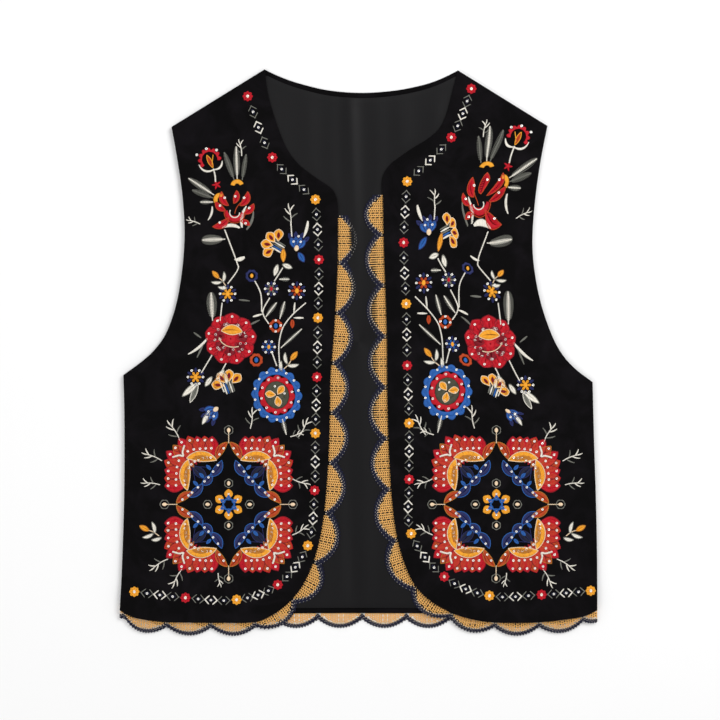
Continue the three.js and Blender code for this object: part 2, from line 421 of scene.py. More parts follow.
@dataclass(frozen=True)
class FrontCut:
    """The tables of one front: its seams and edges, its lace and its folds."""

    word: str
    outward: float
    hem_corner: tuple[float, float]
    back_corner: tuple[float, float]
    side: Rows
    armhole: Rows
    neck_point: tuple[float, float]
    hem: Rows
    edge: Rows
    neck_corner: Rows
    neckline: Rows
    lace_top: float
    scallops: Rows
    creases: tuple[Crease, ...]
    flat: tuple[float, float]
    area: float

    def lace_path(self) -> Line:
        """The sewn line of the lace, from its top end down the front edge and out along the hem."""
        down = Line(self.edge).points[::-1]
        down = down[down[:, 1] <= self.lace_top]
        return Line(np.vstack([down, Line(self.hem).points[::-1][1:]]), smooth=False)

    def outline(self) -> np.ndarray:
        """Points all round the panel."""
        shoulder = Line([self.neck_point, self.armhole[-1]], smooth=False)
        side = Line([self.hem_corner, *self.side])
        rising = ((side, 60), (Line(self.armhole), 70))
        falling = (
            (shoulder, 24), (Line(self.neckline), 50), (Line(self.neck_corner), 10), (Line(self.edge), 120),
        )
        return np.vstack([
            Line(self.hem).at(np.linspace(1, 0, 60)),
            *[line.at(np.linspace(0, 1, count)) for line, count in rising],
            *[line.at(np.linspace(1, 0, count)) for line, count in falling],
        ])


LEFT = FrontCut(
    word="left", outward=-1.0, hem_corner=(-238, -257), back_corner=(-237.5, -251),
    side=((-236, -215), (-233.8, -145), (-233.5, -70), (-234.5, -22.5)),
    armhole=((-234.5, -22.5), (-218, -10.5), (-204, 2), (-191.5, 20), (-181.5, 49.5), (-175.5, 86),
             (-173.5, 122), (-176, 160), (-181, 194), (-186.5, 225)),
    neck_point=(-93.5, 282.5),
    hem=((-238, -257), (-225, -264), (-206, -267.5), (-187, -269), (-143, -269.5), (-105, -269),
         (-87, -262.5), (-71, -251)),
    edge=((-71, -251), (-58, -236), (-48, -217), (-40.5, -194), (-35, -166), (-31.5, -130), (-29.5, -95),
          (-28.5, -60), (-28, -25), (-25.5, 5), (-22.8, 45), (-20.6, 92), (-20.5, 145)),
    neck_corner=((-20.5, 145), (-22, 154.5), (-26, 162.5), (-33, 168)),
    neckline=((-33, 168), (-47, 177.5), (-60, 188), (-71, 202.5), (-79, 221), (-86, 242), (-91, 262),
              (-93.5, 282.5)),
    lace_top=139.5,
    scallops=((1, 47), (6, 50), (6, 44)),
    creases=(
        Crease(-232, -30, -188, -62, 10, 0.9), Crease(-230, -88, -196, -104, 8, 0.6),
        Crease(-176, 118, -150, 96, 9, 0.7), Crease(-182, 210, -148, 232, 8, 0.8),
        Crease(-110, 262, -128, 214, 9, 0.6), Crease(-226, -180, -204, -236, 9, 0.8),
        Crease(-204, 6, -176, -18, 8, 0.6), Crease(-56, 176, -74, 150, 8, 0.5),
    ),
    flat=(0.217, 0.552), area=0.0884,
)
RIGHT = FrontCut(
    word="right", outward=1.0, hem_corner=(238, -257), back_corner=(237.5, -251),
    side=((238, -205), (236.8, -145), (235, -88), (233.5, -29.5)),
    armhole=((233.5, -29.5), (217.5, -17.5), (204, -3), (193, 17), (182, 49), (175.5, 82),
             (173.5, 112), (176, 150), (181.5, 190), (188.5, 226)),
    neck_point=(99, 281.5),
    hem=((238, -257), (225, -263), (208, -266), (180, -269), (143, -269.5), (117.5, -267), (96, -261),
         (78, -252)),
    edge=((78, -252), (66, -243), (54.5, -229.5), (45, -208), (38.5, -184), (34.5, -158), (31.8, -125),
          (29.6, -80), (28.6, -35), (28.4, 10), (27, 58), (25.3, 105), (24.3, 160)),
    neck_corner=((24.3, 160), (24.2, 172), (27, 181.5), (33.5, 189.5)),
    neckline=((33.5, 189.5), (52.5, 203), (69.5, 213.5), (81, 224), (88, 238.5), (93, 257), (96.5, 271),
              (99, 281.5)),
    lace_top=158.5,
    scallops=((1, 39.5), (7, 50.9), (5, 44.3)),
    creases=(
        Crease(231, -36, 192, -58, 9, 0.8), Crease(232, -96, 204, -118, 10, 0.9),
        Crease(178, 104, 152, 88, 8, 0.6), Crease(184, 214, 150, 236, 10, 0.9),
        Crease(118, 256, 136, 218, 8, 0.6), Crease(228, -190, 210, -240, 8, 0.7),
        Crease(200, -8, 178, -30, 7, 0.6), Crease(60, 200, 82, 176, 8, 0.5),
    ),
    flat=(0.214, 0.551), area=0.0884,
)
BACK_NECK = ((-93.5, 282.5), (-77, 275), (-58, 268.5), (-30, 262), (2, 259.5), (34, 261.5), (61, 266.5),
             (80, 272.5), (99, 281.5))
BACK_HEM = ((-237.5, -251), (-190, -258.5), (-100, -260.5), (0, -260.5), (100, -260.5), (190, -258.5),
            (237.5, -251))


def patch(outer: np.ndarray, inner: np.ndarray, bottom: np.ndarray, top: np.ndarray,
          across: np.ndarray) -> np.ndarray:
    """Fill a grid between four edges.

    Args:
        outer: Points up the first column.
        inner: Points up the last column.
        bottom: Points along the first row.
        top: Points along the last row.
        across: Share of the width of each column.

    Returns:
        Rows by columns of 2-D points.
    """
    v = np.linspace(0, 1, len(outer))[:, None, None]
    u = across[None, :, None]
    spanned = outer[:, None] * (1 - u) + inner[:, None] * u
    risen = bottom[None] * (1 - v) + top[None] * v
    corners = (outer[0] * (1 - u) + inner[0] * u) * (1 - v) + (outer[-1] * (1 - u) + inner[-1] * u) * v
    return spanned + risen - corners


def cloth_shell(name: str, grid: np.ndarray, heights: np.ndarray, thick: float,
                roll: float) -> bpy.types.Object:
    """Make a thin closed shell of cloth under a grid of its top surface.

    Args:
        name: The piece's name.
        grid: Rows by columns of 2-D points.
        heights: The top surface's height at each.
        thick: The cloth's thickness.
        roll: Radius of its turned edges.

    Returns:
        The finished object.
    """
    rows, columns = heights.shape
    points = np.dstack([grid, heights]).reshape(-1, 3) * MM
    j, i = np.meshgrid(np.arange(rows - 1), np.arange(columns - 1), indexing="ij")
    low = (j * columns + i).ravel()
    quads = np.column_stack([low, low + 1, low + columns + 1, low + columns])
    along, up = grid[0, 1] - grid[0, 0], grid[1, 0] - grid[0, 0]
    if along[0] * up[1] - along[1] * up[0] < 0:
        quads = quads[:, ::-1]
    mesh = bpy.data.meshes.new(name)
    mesh.from_pydata(points.tolist(), [], quads.tolist())
    made = bpy.data.objects.new(name, mesh)
    bpy.context.scene.collection.objects.link(made)
    finish_mesh(
        made,
        ("SOLIDIFY", {"thickness": thick * MM, "offset": -1.0}),
        ("BEVEL", {
            "width": roll * MM, "segments": 3, "limit_method": "ANGLE", "angle_limit": math.radians(60),
        }),
    )
    bpy.ops.object.shade_smooth()
    return made


@dataclass
class FrontPanel:
    """A velvet front, whose top surface also carries the embroidery."""

    cut: FrontCut
    fineness: int = 4
    columns: int = 42
    edge_roll: float = 0.7
    # Columns kept close to each side for the turned edge, and the share that the even ones keep clear.
    rims: tuple[float, ...] = (0.006, 0.014, 0.024)
    rim_clear: float = 0.03
    # The pressed groove of the sewn edge: how far in, how wide and how deep.
    groove_in: float = 4.2
    groove_wide: float = 1.6
    groove_deep: float = 0.28
    # Distances from the edge over which the folds come up.
    folds_from: float = 2.0
    folds_full: float = 22.0
    sewn: np.ndarray = field(init=False)
    border: np.ndarray = field(init=False)

    def __post_init__(self) -> None:
        """Keep the lines that the cloth's height is measured from."""
        self.sewn = self.cut.lace_path().at(np.linspace(0, 1, 201))
        self.border = self.cut.outline()

    def height(self, points: np.ndarray) -> np.ndarray:
        """Height of the velvet's top surface: lifted over the lace, with its folds and its turned edge.

        Args:
            points: 2-D points on the front.

        Returns:
            The height of each.
        """
        over_lace = 1 - smoothstep(near(points, self.sewn), LIFT_HOLD, LIFT_END)
        rise = FRONT_REST + LACE_STEP * over_lace + VELVET_THICK
        edge = near(points, self.border)
        inside = smoothstep(edge, self.folds_from, self.folds_full)
        for crease in self.cut.creases:
            rise = rise + crease.rise(points) * inside
        return rise - self.groove_deep * np.exp(-(((edge - self.groove_in) / self.groove_wide) ** 2))

    def build(self, velvet: bpy.types.Material) -> bpy.types.Object:
        """Build and dress the panel."""
        cut, k = self.cut, self.fineness
        even = np.linspace(0, 1, self.columns)[1:-1]
        even = even[(even > self.rim_clear) & (even < 1 - self.rim_clear)]
        across = np.array([0, *self.rims, *even, *[1 - r for r in self.rims[::-1]], 1])
        # Both sides of the grid have 25 rows to each step of fineness, shared out by length.
        outer = np.vstack([
            Line([cut.hem_corner, *cut.side]).at(np.linspace(0, 1, 10 * k + 1)),
            Line(cut.armhole).at(np.linspace(0, 1, 15 * k + 1))[1:],
        ])
        inner = np.vstack([
            Line(cut.edge).at(np.linspace(0, 1, 13 * k + 1)),
            Line(cut.neck_corner).at(np.linspace(0, 1, 3 * k + 1))[1:],
            Line(cut.neckline).at(np.linspace(0, 1, 9 * k + 1))[1:],
        ])
        shoulder = Line([cut.armhole[-1], cut.neck_point], smooth=False)
        grid = patch(outer, inner, Line(cut.hem).at(across), shoulder.at(across), across)
        made = cloth_shell(f"velvet_front_{cut.word}", grid, self.height(grid), VELVET_THICK, self.edge_roll)
        declare(made, f"front_{cut.word}", velvet)
        return made


@dataclass
class BackAndLining:
    """The velvet back on the table, and the satin lining that lies on it and shows between the fronts."""

    flat: tuple[float, float] = (0.475, 0.543)
    area: float = 0.2158
    lining_flat: tuple[float, float] = (0.470, 0.540)
    rows: int = 80
    columns: int = 90
    shoulder_share: float = 0.17
    seam_wide: float = 4.5
    edge_roll: float = 0.6
    lining_roll: float = 0.35
    lining_share: float = 0.95
    # The lining is the back drawn in about this centre, by the inset at this half width.
    centre: tuple[float, float] = (2.0, 0.0)
    lining_inset: float = 5.0
    half_wide: float = 240.0
    hem_inset: float = 0.6
    # Soft lengthwise folds of the lining where it lies free: x, half width and height of each.
    folds: Rows = ((-6, 7, 1.9), (17, 9, 1.1), (-24, 8, 0.9), (44, 12, 1.0), (-52, 10, 0.7), (78, 12, 0.8))

    def _grid(self) -> np.ndarray:
        """Points of the back between its two sides, its hem, its shoulders and its neck."""
        sides = []
        for cut in (LEFT, RIGHT):
            sides.append(np.vstack([
                Line([cut.back_corner, *cut.side]).at(np.linspace(0, 1, 2 * self.rows // 5 + 1)),
                Line(cut.armhole).at(np.linspace(0, 1, 3 * self.rows // 5 + 1))[1:],
            ]))
        across = np.linspace(0, 1, self.columns + 1)
        tip = int(self.columns * self.shoulder_share)
        left = Line([LEFT.armhole[-1], LEFT.neck_point], smooth=False).at(np.linspace(0, 1, tip + 1))
        right = Line([RIGHT.neck_point, RIGHT.armhole[-1]], smooth=False).at(np.linspace(0, 1, tip + 1))
        neck = Line(BACK_NECK).at(np.linspace(0, 1, self.columns - 2 * tip + 1))
        top = np.vstack([left, neck[1:], right[1:]])
        return patch(sides[0], sides[1], Line(BACK_HEM).at(across), top, across)

    def lining_height(self, points: np.ndarray) -> np.ndarray:
        """Height of the lining's top surface: flat under the fronts, folded where it lies free.

        Args:
            points: 2-D points on the lining.

        Returns:
            The height of each.
        """
        open_air = np.ones(points.shape[:-1])
        for cut in (LEFT, RIGHT):
            inner = np.vstack([Line(cut.edge).points, Line(cut.neckline).points])
            order = np.argsort(inner[:, 1])
            edge_x = np.interp(points[..., 1], inner[order, 1], inner[order, 0])
            away = (edge_x - points[..., 0]) * cut.outward
            open_air = open_air * smoothstep(away, 0.0, 10.0)
        rise = np.zeros(points.shape[:-1])
        # Each fold sways and swells slowly along its length, in a phase of its own.
        for x, wide, high in self.folds:
            sway = 2.5 * np.sin(points[..., 1] / 61 + x)
            swell = 0.75 + 0.25 * np.sin(points[..., 1] / 83 + 2.3 * x)
            rise = rise + high * swell * np.exp(-(((points[..., 0] - x - sway) / wide) ** 2))
        ends = smoothstep(points[..., 1], -258, -225) * (1 - smoothstep(points[..., 1], 235, 262))
        return LINING_REST + SATIN_THICK + rise * open_air * (0.25 + 0.75 * ends)

    def build(self, velvet: bpy.types.Material, satin: bpy.types.Material) -> list[bpy.types.Object]:
        """Build and dress the back and its lining."""
        grid = self._grid()
        heights = np.full(grid.shape[:2], VELVET_THICK)
        seam = np.vstack([
            line for c in (LEFT, RIGHT) for line in (
                Line([c.back_corner, *c.side]).points, Line(c.armhole).points,
                Line([c.armhole[-1], c.neck_point], smooth=False).at(np.linspace(0, 1, 30)))
        ])
        heights = heights + SEAM_RISE * (1 - smoothstep(near(grid, seam), 0.0, self.seam_wide))
        back = cloth_shell("velvet_back", grid, heights, VELVET_THICK, self.edge_roll)
        declare(back, "back", velvet)
        shrink = 1 - self.lining_inset / self.half_wide
        inner = self.centre + (grid - self.centre) * shrink
        hem = Line(BACK_HEM).points
        least_y = np.interp(inner[..., 0], hem[:, 0], hem[:, 1]) + self.hem_inset
        inner[..., 1] = np.maximum(inner[..., 1], least_y)
        heights = self.lining_height(inner)
        lining = cloth_shell("satin_lining", inner, heights, SATIN_THICK, self.lining_roll)
        declare(lining, "back_lining", satin)
        return [back, lining]


# ---------------------------------------------------------------- stitches and sequins


def stitch_shape() -> Shape:
    """Model one stitch: a four-sided bar with its caps drawn out to points, one long, one wide, one high."""
    bpy.ops.object.select_all(action="DESELECT")
    bpy.ops.mesh.primitive_cylinder_add(vertices=4, radius=0.5, depth=0.7, end_fill_type="TRIFAN",
                                        rotation=(0, math.pi / 2, 0))
    made = bpy.context.object
    bpy.ops.object.transform_apply(location=False, rotation=True, scale=False)
    bpy.ops.object.mode_set(mode="EDIT")
    for end in (-1, 1):
        bpy.ops.mesh.select_all(action="DESELECT")
        bpy.ops.object.mode_set(mode="OBJECT")
        for vertex in made.data.vertices:
            vertex.select = vertex.co.x * end > 0.3 and math.hypot(vertex.co.y, vertex.co.z) < 0.1
        bpy.ops.object.mode_set(mode="EDIT")
        bpy.ops.mesh.select_mode(type="VERT")
        bpy.ops.transform.translate(value=(0.15 * end, 0, -0.12))
    bpy.ops.object.mode_set(mode="OBJECT")
    return taken_shape(made)


def sequin_shape(sides: int = 9) -> Shape:
    """Model one cupped sequin: a ring drawn inwards twice to its hole, then given the film's thickness."""
    bpy.ops.object.select_all(action="DESELECT")
    bpy.ops.mesh.primitive_circle_add(vertices=sides, radius=1.7)
    made = bpy.context.object
    bpy.ops.object.mode_set(mode="EDIT")
    bpy.ops.mesh.select_all(action="SELECT")
    for inward, down in ((0.6, -0.42), (0.52, -0.02)):
        bpy.ops.mesh.extrude_region_move()
        bpy.ops.transform.resize(value=(inward, inward, 1), center_override=(0, 0, 0))
        bpy.ops.transform.translate(value=(0, 0, down))
    bpy.ops.mesh.select_all(action="SELECT")
    bpy.ops.mesh.normals_make_consistent(inside=False)
    bpy.ops.object.mode_set(mode="OBJECT")
    finish_mesh(made, ("SOLIDIFY", {"thickness": 0.12, "offset": 0.0}))
    return taken_shape(made)


def taken_shape(made: bpy.types.Object) -> Shape:
    """Take a modelled object's points and faces and remove the object."""
    points = np.array([v.co for v in made.data.vertices], float)
    faces = [tuple(p.vertices) for p in made.data.polygons]
    bpy.data.objects.remove(made)
    return points, faces


def joined_copies(name: str, shape: Shape, places: np.ndarray,
                  axes: np.ndarray, dyes: np.ndarray | None = None) -> bpy.types.Object:
    """Copy one shape many times into one mesh.

    Args:
        name: The piece's name.
        shape: The points and faces of the shape.
        places: Where each copy's origin goes.
        axes: Three vectors for each copy, which its X, Y and Z become.
        dyes: The linear colour of each copy.

    Returns:
        The joined object.
    """
    points, faces = shape
    count, size = len(places), len(points)
    placed = places[:, None] + np.einsum("pk,nkd->npd", points, axes)
    sizes = np.array([len(f) for f in faces])
    corners = np.concatenate([np.array(f) for f in faces])
    every = (np.arange(count)[:, None] * size + corners[None]).ravel()
    totals = np.tile(sizes, count)
    mesh = bpy.data.meshes.new(name)
    mesh.vertices.add(count * size)
    mesh.vertices.foreach_set("co", (placed * MM).astype(np.float32).ravel())
    mesh.loops.add(len(every))
    mesh.loops.foreach_set("vertex_index", every.astype(np.int32))
    mesh.polygons.add(len(totals))
    mesh.polygons.foreach_set("loop_start", np.concatenate(([0], np.cumsum(totals)[:-1])).astype(np.int32))
    mesh.update(calc_edges=True)
    mesh.polygons.foreach_set("use_smooth", np.ones(len(totals), bool))
    if dyes is not None:
        held = mesh.attributes.new("dye", "FLOAT_COLOR", "POINT")
        held.data.foreach_set("color", np.repeat(dyes, size, axis=0).astype(np.float32).ravel())
    mesh.validate()
    made = bpy.data.objects.new(name, mesh)
    bpy.context.scene.collection.objects.link(made)
    return made


class Work:
    """Stitches and sequins gathered for one surface, then joined into pieces."""

    def __init__(self, height: Callable[[np.ndarray], np.ndarray], rng: np.random.Generator) -> None:
        """Keep the surface that everything is laid on."""
        self.height = height
        self.rng = rng
        self.rows: list[np.ndarray] = []
        self.spots: list[np.ndarray] = []

    def lay(self, starts: np.ndarray, ends: np.ndarray, thread: Thread, wide: float, lift: float,
            shade: float = 0.2) -> None:
        """Lay stitches, each dyed a little lighter or darker.

        Args:
            starts: Where the stitches start.
            ends: Where they end.
            thread: The thread.
            wide: Width of a stitch.
            lift: Height above the cloth.
            shade: How far the dye varies, as a share.
        """
        count = len(starts)
        if not count:
            return
        dye = np.array(linear(thread.value))[None] * (1 + shade * (self.rng.random((count, 1)) - 0.5))
        self.rows.append(np.hstack([starts, ends, np.full((count, 1), wide), np.full((count, 1), lift), dye]))

    def stitches(self, name: str, shape: Shape, slim: float = 0.55) -> bpy.types.Object:
        """Join the stitches into one piece."""
        rows = np.vstack(self.rows)
        starts, ends, wide, lift, dyes = rows[:, :2], rows[:, 2:4], rows[:, 4], rows[:, 5], rows[:, 6:]
        z0, z1 = self.height(starts) + lift, self.height(ends) + lift
        run = np.column_stack([ends - starts, z1 - z0])
        middle = np.column_stack([(starts + ends) / 2, (z0 + z1) / 2 + 0.12])
        side = unit(turned(ends - starts)) * wide[:, None]
        tall = wide * slim
        axes = np.stack([run, np.column_stack([side, np.zeros(len(side))]),
                         np.column_stack([np.zeros((len(side), 2)), tall])], axis=1)
        dyes[:, 3] = 1.0
        self.rows = []
        return joined_copies(name, shape, middle, axes, dyes)

    def sequins(self, name: str, shape: Shape, lean: float = 0.14, rise: float = 0.85) -> bpy.types.Object:
        """Join the sequins into one piece, each leaning its own way."""
        spots = np.vstack(self.spots)
        count = len(spots)
        z = self.height(spots[:, :2]) + rise
        tilt = (self.rng.random((count, 2)) - 0.5) * 2 * lean
        turn = self.rng.random(count) * math.pi
        up = unit(np.column_stack([tilt, np.ones(count)]))
        across = unit(np.cross(np.column_stack([np.cos(turn), np.sin(turn), np.zeros(count)]), up))
        axes = np.stack([across, np.cross(up, across), up], axis=1) * spots[:, 2][:, None, None]
        self.spots = []
        return joined_copies(name, shape, np.column_stack([spots[:, :2], z]), axes)


class Needle:
    """Draws motifs in a frame of their own, which is set down, turned and sized on the cloth."""

    def __init__(self, work: Work, carry: Callable[[np.ndarray], np.ndarray],
                 origin: tuple[float, float] = (0, 0), turn: float = 0.0, size: float = 1.0) -> None:
        """Keep the work that is drawn on, and the way from the design to the cloth."""
        self.work, self.carry = work, carry
        self.origin = np.array(origin, float)
        c, s = math.cos(math.radians(turn)) * size, math.sin(math.radians(turn)) * size
        self.matrix = np.array([[c, -s], [s, c]])

    def at(self, x: float, y: float, turn: float = 0.0, size: float = 1.0) -> "Needle":
        """A needle whose frame is set down inside this one."""
        made = Needle(self.work, self.carry, turn=turn, size=size)
        made.origin = self.matrix @ np.array([x, y]) + self.origin
        made.matrix = self.matrix @ made.matrix
        return made

    def cloth(self, points: np.ndarray) -> np.ndarray:
        """Where the frame's points come on the cloth."""
        return self.carry(np.asarray(points, float) @ self.matrix.T + self.origin)

    def stitch(self, starts: np.ndarray, ends: np.ndarray, thread: Thread, wide: float = 1.0,
               lift: float = 0.0) -> None:
        """Lay stitches given in the frame."""
        self.work.lay(self.cloth(np.atleast_2d(starts)), self.cloth(np.atleast_2d(ends)), thread, wide, lift)

    def sequin(self, *spots: tuple[float, float], size: float = 1.0) -> None:
        """Sew sequins at these places."""
        places = self.cloth(np.array(spots, float))
        self.work.spots.append(np.column_stack([places, np.full(len(places), size)]))

    def line(self, rows: Rows | np.ndarray, thread: Thread, wide: float = 0.9, step: float = 2.3,
             lift: float = 0.12, smooth: bool = True) -> None:
        """Stem stitch along a line: each stitch overlaps the last and lies a little across the line."""
        path = Line(rows, smooth)
        count = max(1, math.ceil(path.length / step))
        spots = path.at(np.linspace(0, 1, count + 1))
        run = np.diff(spots, axis=0)
        aside = unit(turned(run)) * wide * 0.16
        self.stitch(spots[:-1] - run * 0.12 - aside, spots[1:] + run * 0.12 + aside, thread, wide, lift)

    def satin(self, one: np.ndarray, other: np.ndarray, thread: Thread, pitch: float = 1.05,
              wide: float = 1.25, lean: float = 0.0, lift: float = 0.0, most: float = 7.5) -> None:
        """Satin stitch between two lines: side by side, and broken into shorter stitches where it is wide.

        Args:
            one: Points of the line that the stitches start on.
            other: Points of the line that they end on.
            thread: The thread.
            pitch: Distance between stitches.
            wide: Width of a stitch.
            lean: How far along its line each stitch's end is moved, as a share.
            lift: Height above the cloth.
            most: The longest stitch.
        """
        a, b = Line(one, smooth=False), Line(other, smooth=False)
        count = max(2, math.ceil(max(a.length, b.length) / pitch))
        t = (np.arange(count) + 0.5) / count
        starts, ends = a.at(t), b.at(np.clip(t + lean, 0, 1))
        long = np.hypot(*(ends - starts).T)
        parts = max(1, math.ceil(float(long.max()) / most))
        cuts = np.tile(np.linspace(0, 1, parts + 1), (count, 1))
        if parts > 1:
            cuts[:, 1:-1] += (self.work.rng.random((count, parts - 1)) - 0.5) * 0.55 / parts
        for k in range(parts):
            low = starts + (ends - starts) * (cuts[:, k:k + 1] - (0.04 if k else 0))
            high = starts + (ends - starts) * (cuts[:, k + 1:k + 2] + 0.02)
            keep = np.hypot(*(high - low).T) > 0.5
            self.stitch(low[keep], high[keep], thread, wide, lift)

    def leaf(self, x0: float, y0: float, x1: float, y1: float, wide: float, fill: Thread | None,
             edge: Thread | None = None, bow: float = 0.0, blunt: float = 1.0, lift: float = 0.0) -> None:
        """A lens-shaped leaf or petal from its foot to its tip.

        Args:
            x0, y0: The foot.
            x1, y1: The tip.
            wide: Width at its widest.
            fill: Thread of its two slanted halves.
            edge: Thread of its outline.
            bow: How far its middle line bows to the left, as a share of its length.
            blunt: Above 1 the leaf is widest nearer its tip.
            lift: Height above the cloth.
        """
        t = np.linspace(0, 1, 15)[:, None]
        foot, tip = np.array([x0, y0]), np.array([x1, y1])
        run = tip - foot
        spine = foot + run * t + turned(run) * bow * 4 * t * (1 - t)
        aside = unit(turned(np.gradient(spine, axis=0))) * (wide / 2) * np.sin(np.pi * t**blunt) ** 0.8
        for side in (1, -1):
            rim = spine + aside * side
            if fill:
                self.satin(spine, rim, fill, lean=0.12, lift=lift)
            if edge:
                self.line(rim, edge, 0.8, lift=lift + 0.25, smooth=False)

    def blade(self, x0: float, y0: float, x1: float, y1: float, wide: float, thread: Thread,
              bow: float = 0.0) -> None:
        """A narrow leaf of one thread, satin stitched straight across."""
        t = np.linspace(0, 1, 11)[:, None]
        foot, tip = np.array([x0, y0]), np.array([x1, y1])
        run = tip - foot
        spine = foot + run * t + turned(run) * bow * 4 * t * (1 - t)
        swell = np.sin(np.pi * (0.08 + 0.9 * t)) ** 0.7
        aside = unit(turned(np.gradient(spine, axis=0))) * (wide / 2) * swell
        self.satin(spine - aside, spine + aside, thread, pitch=0.95, wide=1.1, lean=0.06)

    def ring(self, x: float, y: float, inner: float, outer: float, thread: Thread, lobes: int = 0,
             tall: float = 1.0, start: float = 0.0, end: float = 360.0, lift: float = 0.0,
             depth: float = 0.14) -> None:
        """A ring, or part of one, in radial stitches, whose outer edge may be scalloped.

        Args:
            x, y: The middle.
            inner: Radius of the inner edge.
            outer: Radius of the outer edge.
            thread: The thread.
            lobes: Scallops in a full turn, or none.
            tall: Height of the ring as a share of its width.
            start: The angle it starts at, in degrees.
            end: The angle it ends at.
            lift: Height above the cloth.
            depth: How deep the scallops are, as a share of the radius.
        """
        angles = np.radians(np.linspace(start, end, max(16, 8 * lobes)))
        reach = np.full(angles.shape, outer)
        if lobes:
            reach = outer * (1 - depth * (1 - np.abs(np.sin(angles * lobes / 2))))
        way = np.column_stack([np.cos(angles), np.sin(angles) * tall])
        centre = np.array([x, y])
        self.satin(centre + way * inner, centre + way * reach[:, None], thread, lift=lift)

    def feather(self, x0: float, y0: float, x1: float, y1: float, wide: float, rib: Thread = Thread.WHITE,
                barb: Thread = Thread.GREY, bow: float = 0.0) -> None:
        """A feathery leaf: a corded rib with slanting barbs down both sides."""
        foot, tip = np.array([x0, y0]), np.array([x1, y1])
        run = tip - foot
        count = max(4, round(math.hypot(*run) / 1.7))
        t = np.linspace(0.12, 0.97, count)[:, None]
        spine = foot + run * t + turned(run) * bow * 4 * t * (1 - t)
        ahead = unit(np.gradient(spine, axis=0))
        reach = wide / 2 * np.sin(np.pi * t**0.9) ** 0.6
        for side in (1, -1):
            barbs = spine + turned(ahead) * side * reach + ahead * reach * 0.8
            self.stitch(spine, barbs, barb, 0.7)
            self.stitch(spine, spine + (barbs - spine) * 0.42, rib, 0.8, 0.15)
        self.line(np.vstack([foot, spine]), rib, 1.1, 1.6, 0.3, smooth=False)

    def disc(self, x: float, y: float, radius: float, thread: Thread, lift: float = 0.1) -> None:
        """A small round dot of satin stitch."""
        left, right = arc(x, y, radius, radius, 100, 260, 9), arc(x, y, radius, radius, 80, -80, 9)
        self.satin(left, right, thread, 0.7, lift=lift)

    def flower(self, x: float, y: float, radius: float, thread: Thread, core: Thread,
               petals: int = 8) -> None:
        """A small open flower with a sequin in its middle."""
        for k in range(petals):
            a = 2 * math.pi * k / petals
            c, s = math.cos(a), math.sin(a)
            foot, tip = (x + 1.3 * c, y + 1.3 * s), (x + radius * c, y + radius * s)
            self.leaf(*foot, *tip, radius * 0.68, thread, blunt=1.3)
        self.disc(x, y, 1.5, core)
        self.sequin((x, y), size=0.8)

    def beaded(self, x: float, y: float, radius: float, core: Thread, rays: Thread, count: int = 6) -> None:
        """A sequin flower: a bright middle, short rays, sequins round it and navy dashes outside."""
        self.disc(x, y, radius * 0.3, core)
        for k in range(count):
            a = 2 * math.pi * k / count
            way = np.array([math.cos(a), math.sin(a)])
            aside = np.array([math.cos(a + 0.5), math.sin(a + 0.5)])
            for dart, low, high, thread in ((way, 0.25, 0.8, rays), (aside, 0.6, 1.3, Thread.NAVY)):
                foot, tip = dart * radius * low + (x, y), dart * radius * high + (x, y)
                self.leaf(*foot, *tip, radius * 0.36, thread)
            self.sequin(tuple(way * radius + (x, y)), size=0.75)

    def twig(self, x: float, y: float, turn: float, size: float = 1.0, thread: Thread = Thread.WHITE) -> None:
        """A bare twig with five tines."""
        own = self.at(x, y, turn, size)
        own.line([(0, 0), (0.8, 8), (0, 17)], thread, 1.1)
        tines = ((0, 5, -7, 11), (0.8, 8, 8, 13), (0.5, 12, -5, 19), (0, 15, 5, 22), (0, 17, -1, 24))
        for x0, y0, x1, y1 in tines:
            own.blade(x0, y0, x1, y1, 1.5, Thread.GREY if x1 > 6 or x1 < -6 else thread, bow=0.06)

    def sprig(self, x: float, y: float, turn: float, size: float = 1.0) -> None:
        """A gold leaf on its stem, between three pale ones."""
        own = self.at(x, y, turn, size)
        own.line([(0, 0), (1, 7), (0, 12)], Thread.CREAM, 1.0)
        own.leaf(0, 11, 0, 22, 5, Thread.GOLD, Thread.OCHRE)
        for x1, y1, bow in ((-9, 14, 0.1), (9, 13, -0.1), (-7, 5, 0.1)):
            own.leaf(0, y1 - 8, x1, y1, 3.6, Thread.WHITE, Thread.GREY, bow)


# ---------------------------------------------------------------- embroidery


CHAINS = {
    "left": (((-110.5, 255.5), (-86, 194.5), (-43, 152.5)),
             ((-43, 152.5), (-39.5, 92.5), (-40.5, 34.5), (-41.5, -24.5), (-43, -80.5), (-43.8, -137.5),
              (-50.5, -192.5), (-80.5, -231.5), (-121.5, -246.5), (-172.5, -244.5), (-223.5, -238.5))),
    "right": (((112.5, 263.0), (92.5, 214.5), (48.5, 170.5)),
              ((48.5, 170.5), (45, 109.5), (47.5, 48.5), (48.5, -13), (50.5, -70.5), (50.5, -126.5),
               (52.5, -180.5), (85.5, -223.5), (130.5, -242.5), (182.5, -241.5), (231.5, -237.5))),
}
# How far the right front's spray is moved from the left's mirror image: design x, y and the shift.
RIGHT_SHIFTS = (
    (-148, 192, 3, 23), (-130, 160, 0, 19), (-123, 142, -12, 8), (-130, 112, -13, -4), (-68, 118, 1, 17),
    (-86, 70, -5, 9), (-82, 26, -4, 4), (-127, 14, -4, -5), (-160, -26, -4, -8), (-82, -42, -1, 4),
    (-130, -80, 0, 0), (-130, -150, 0, 0), (-200, -150, 0, 0), (-60, -150, 0, 0),
)
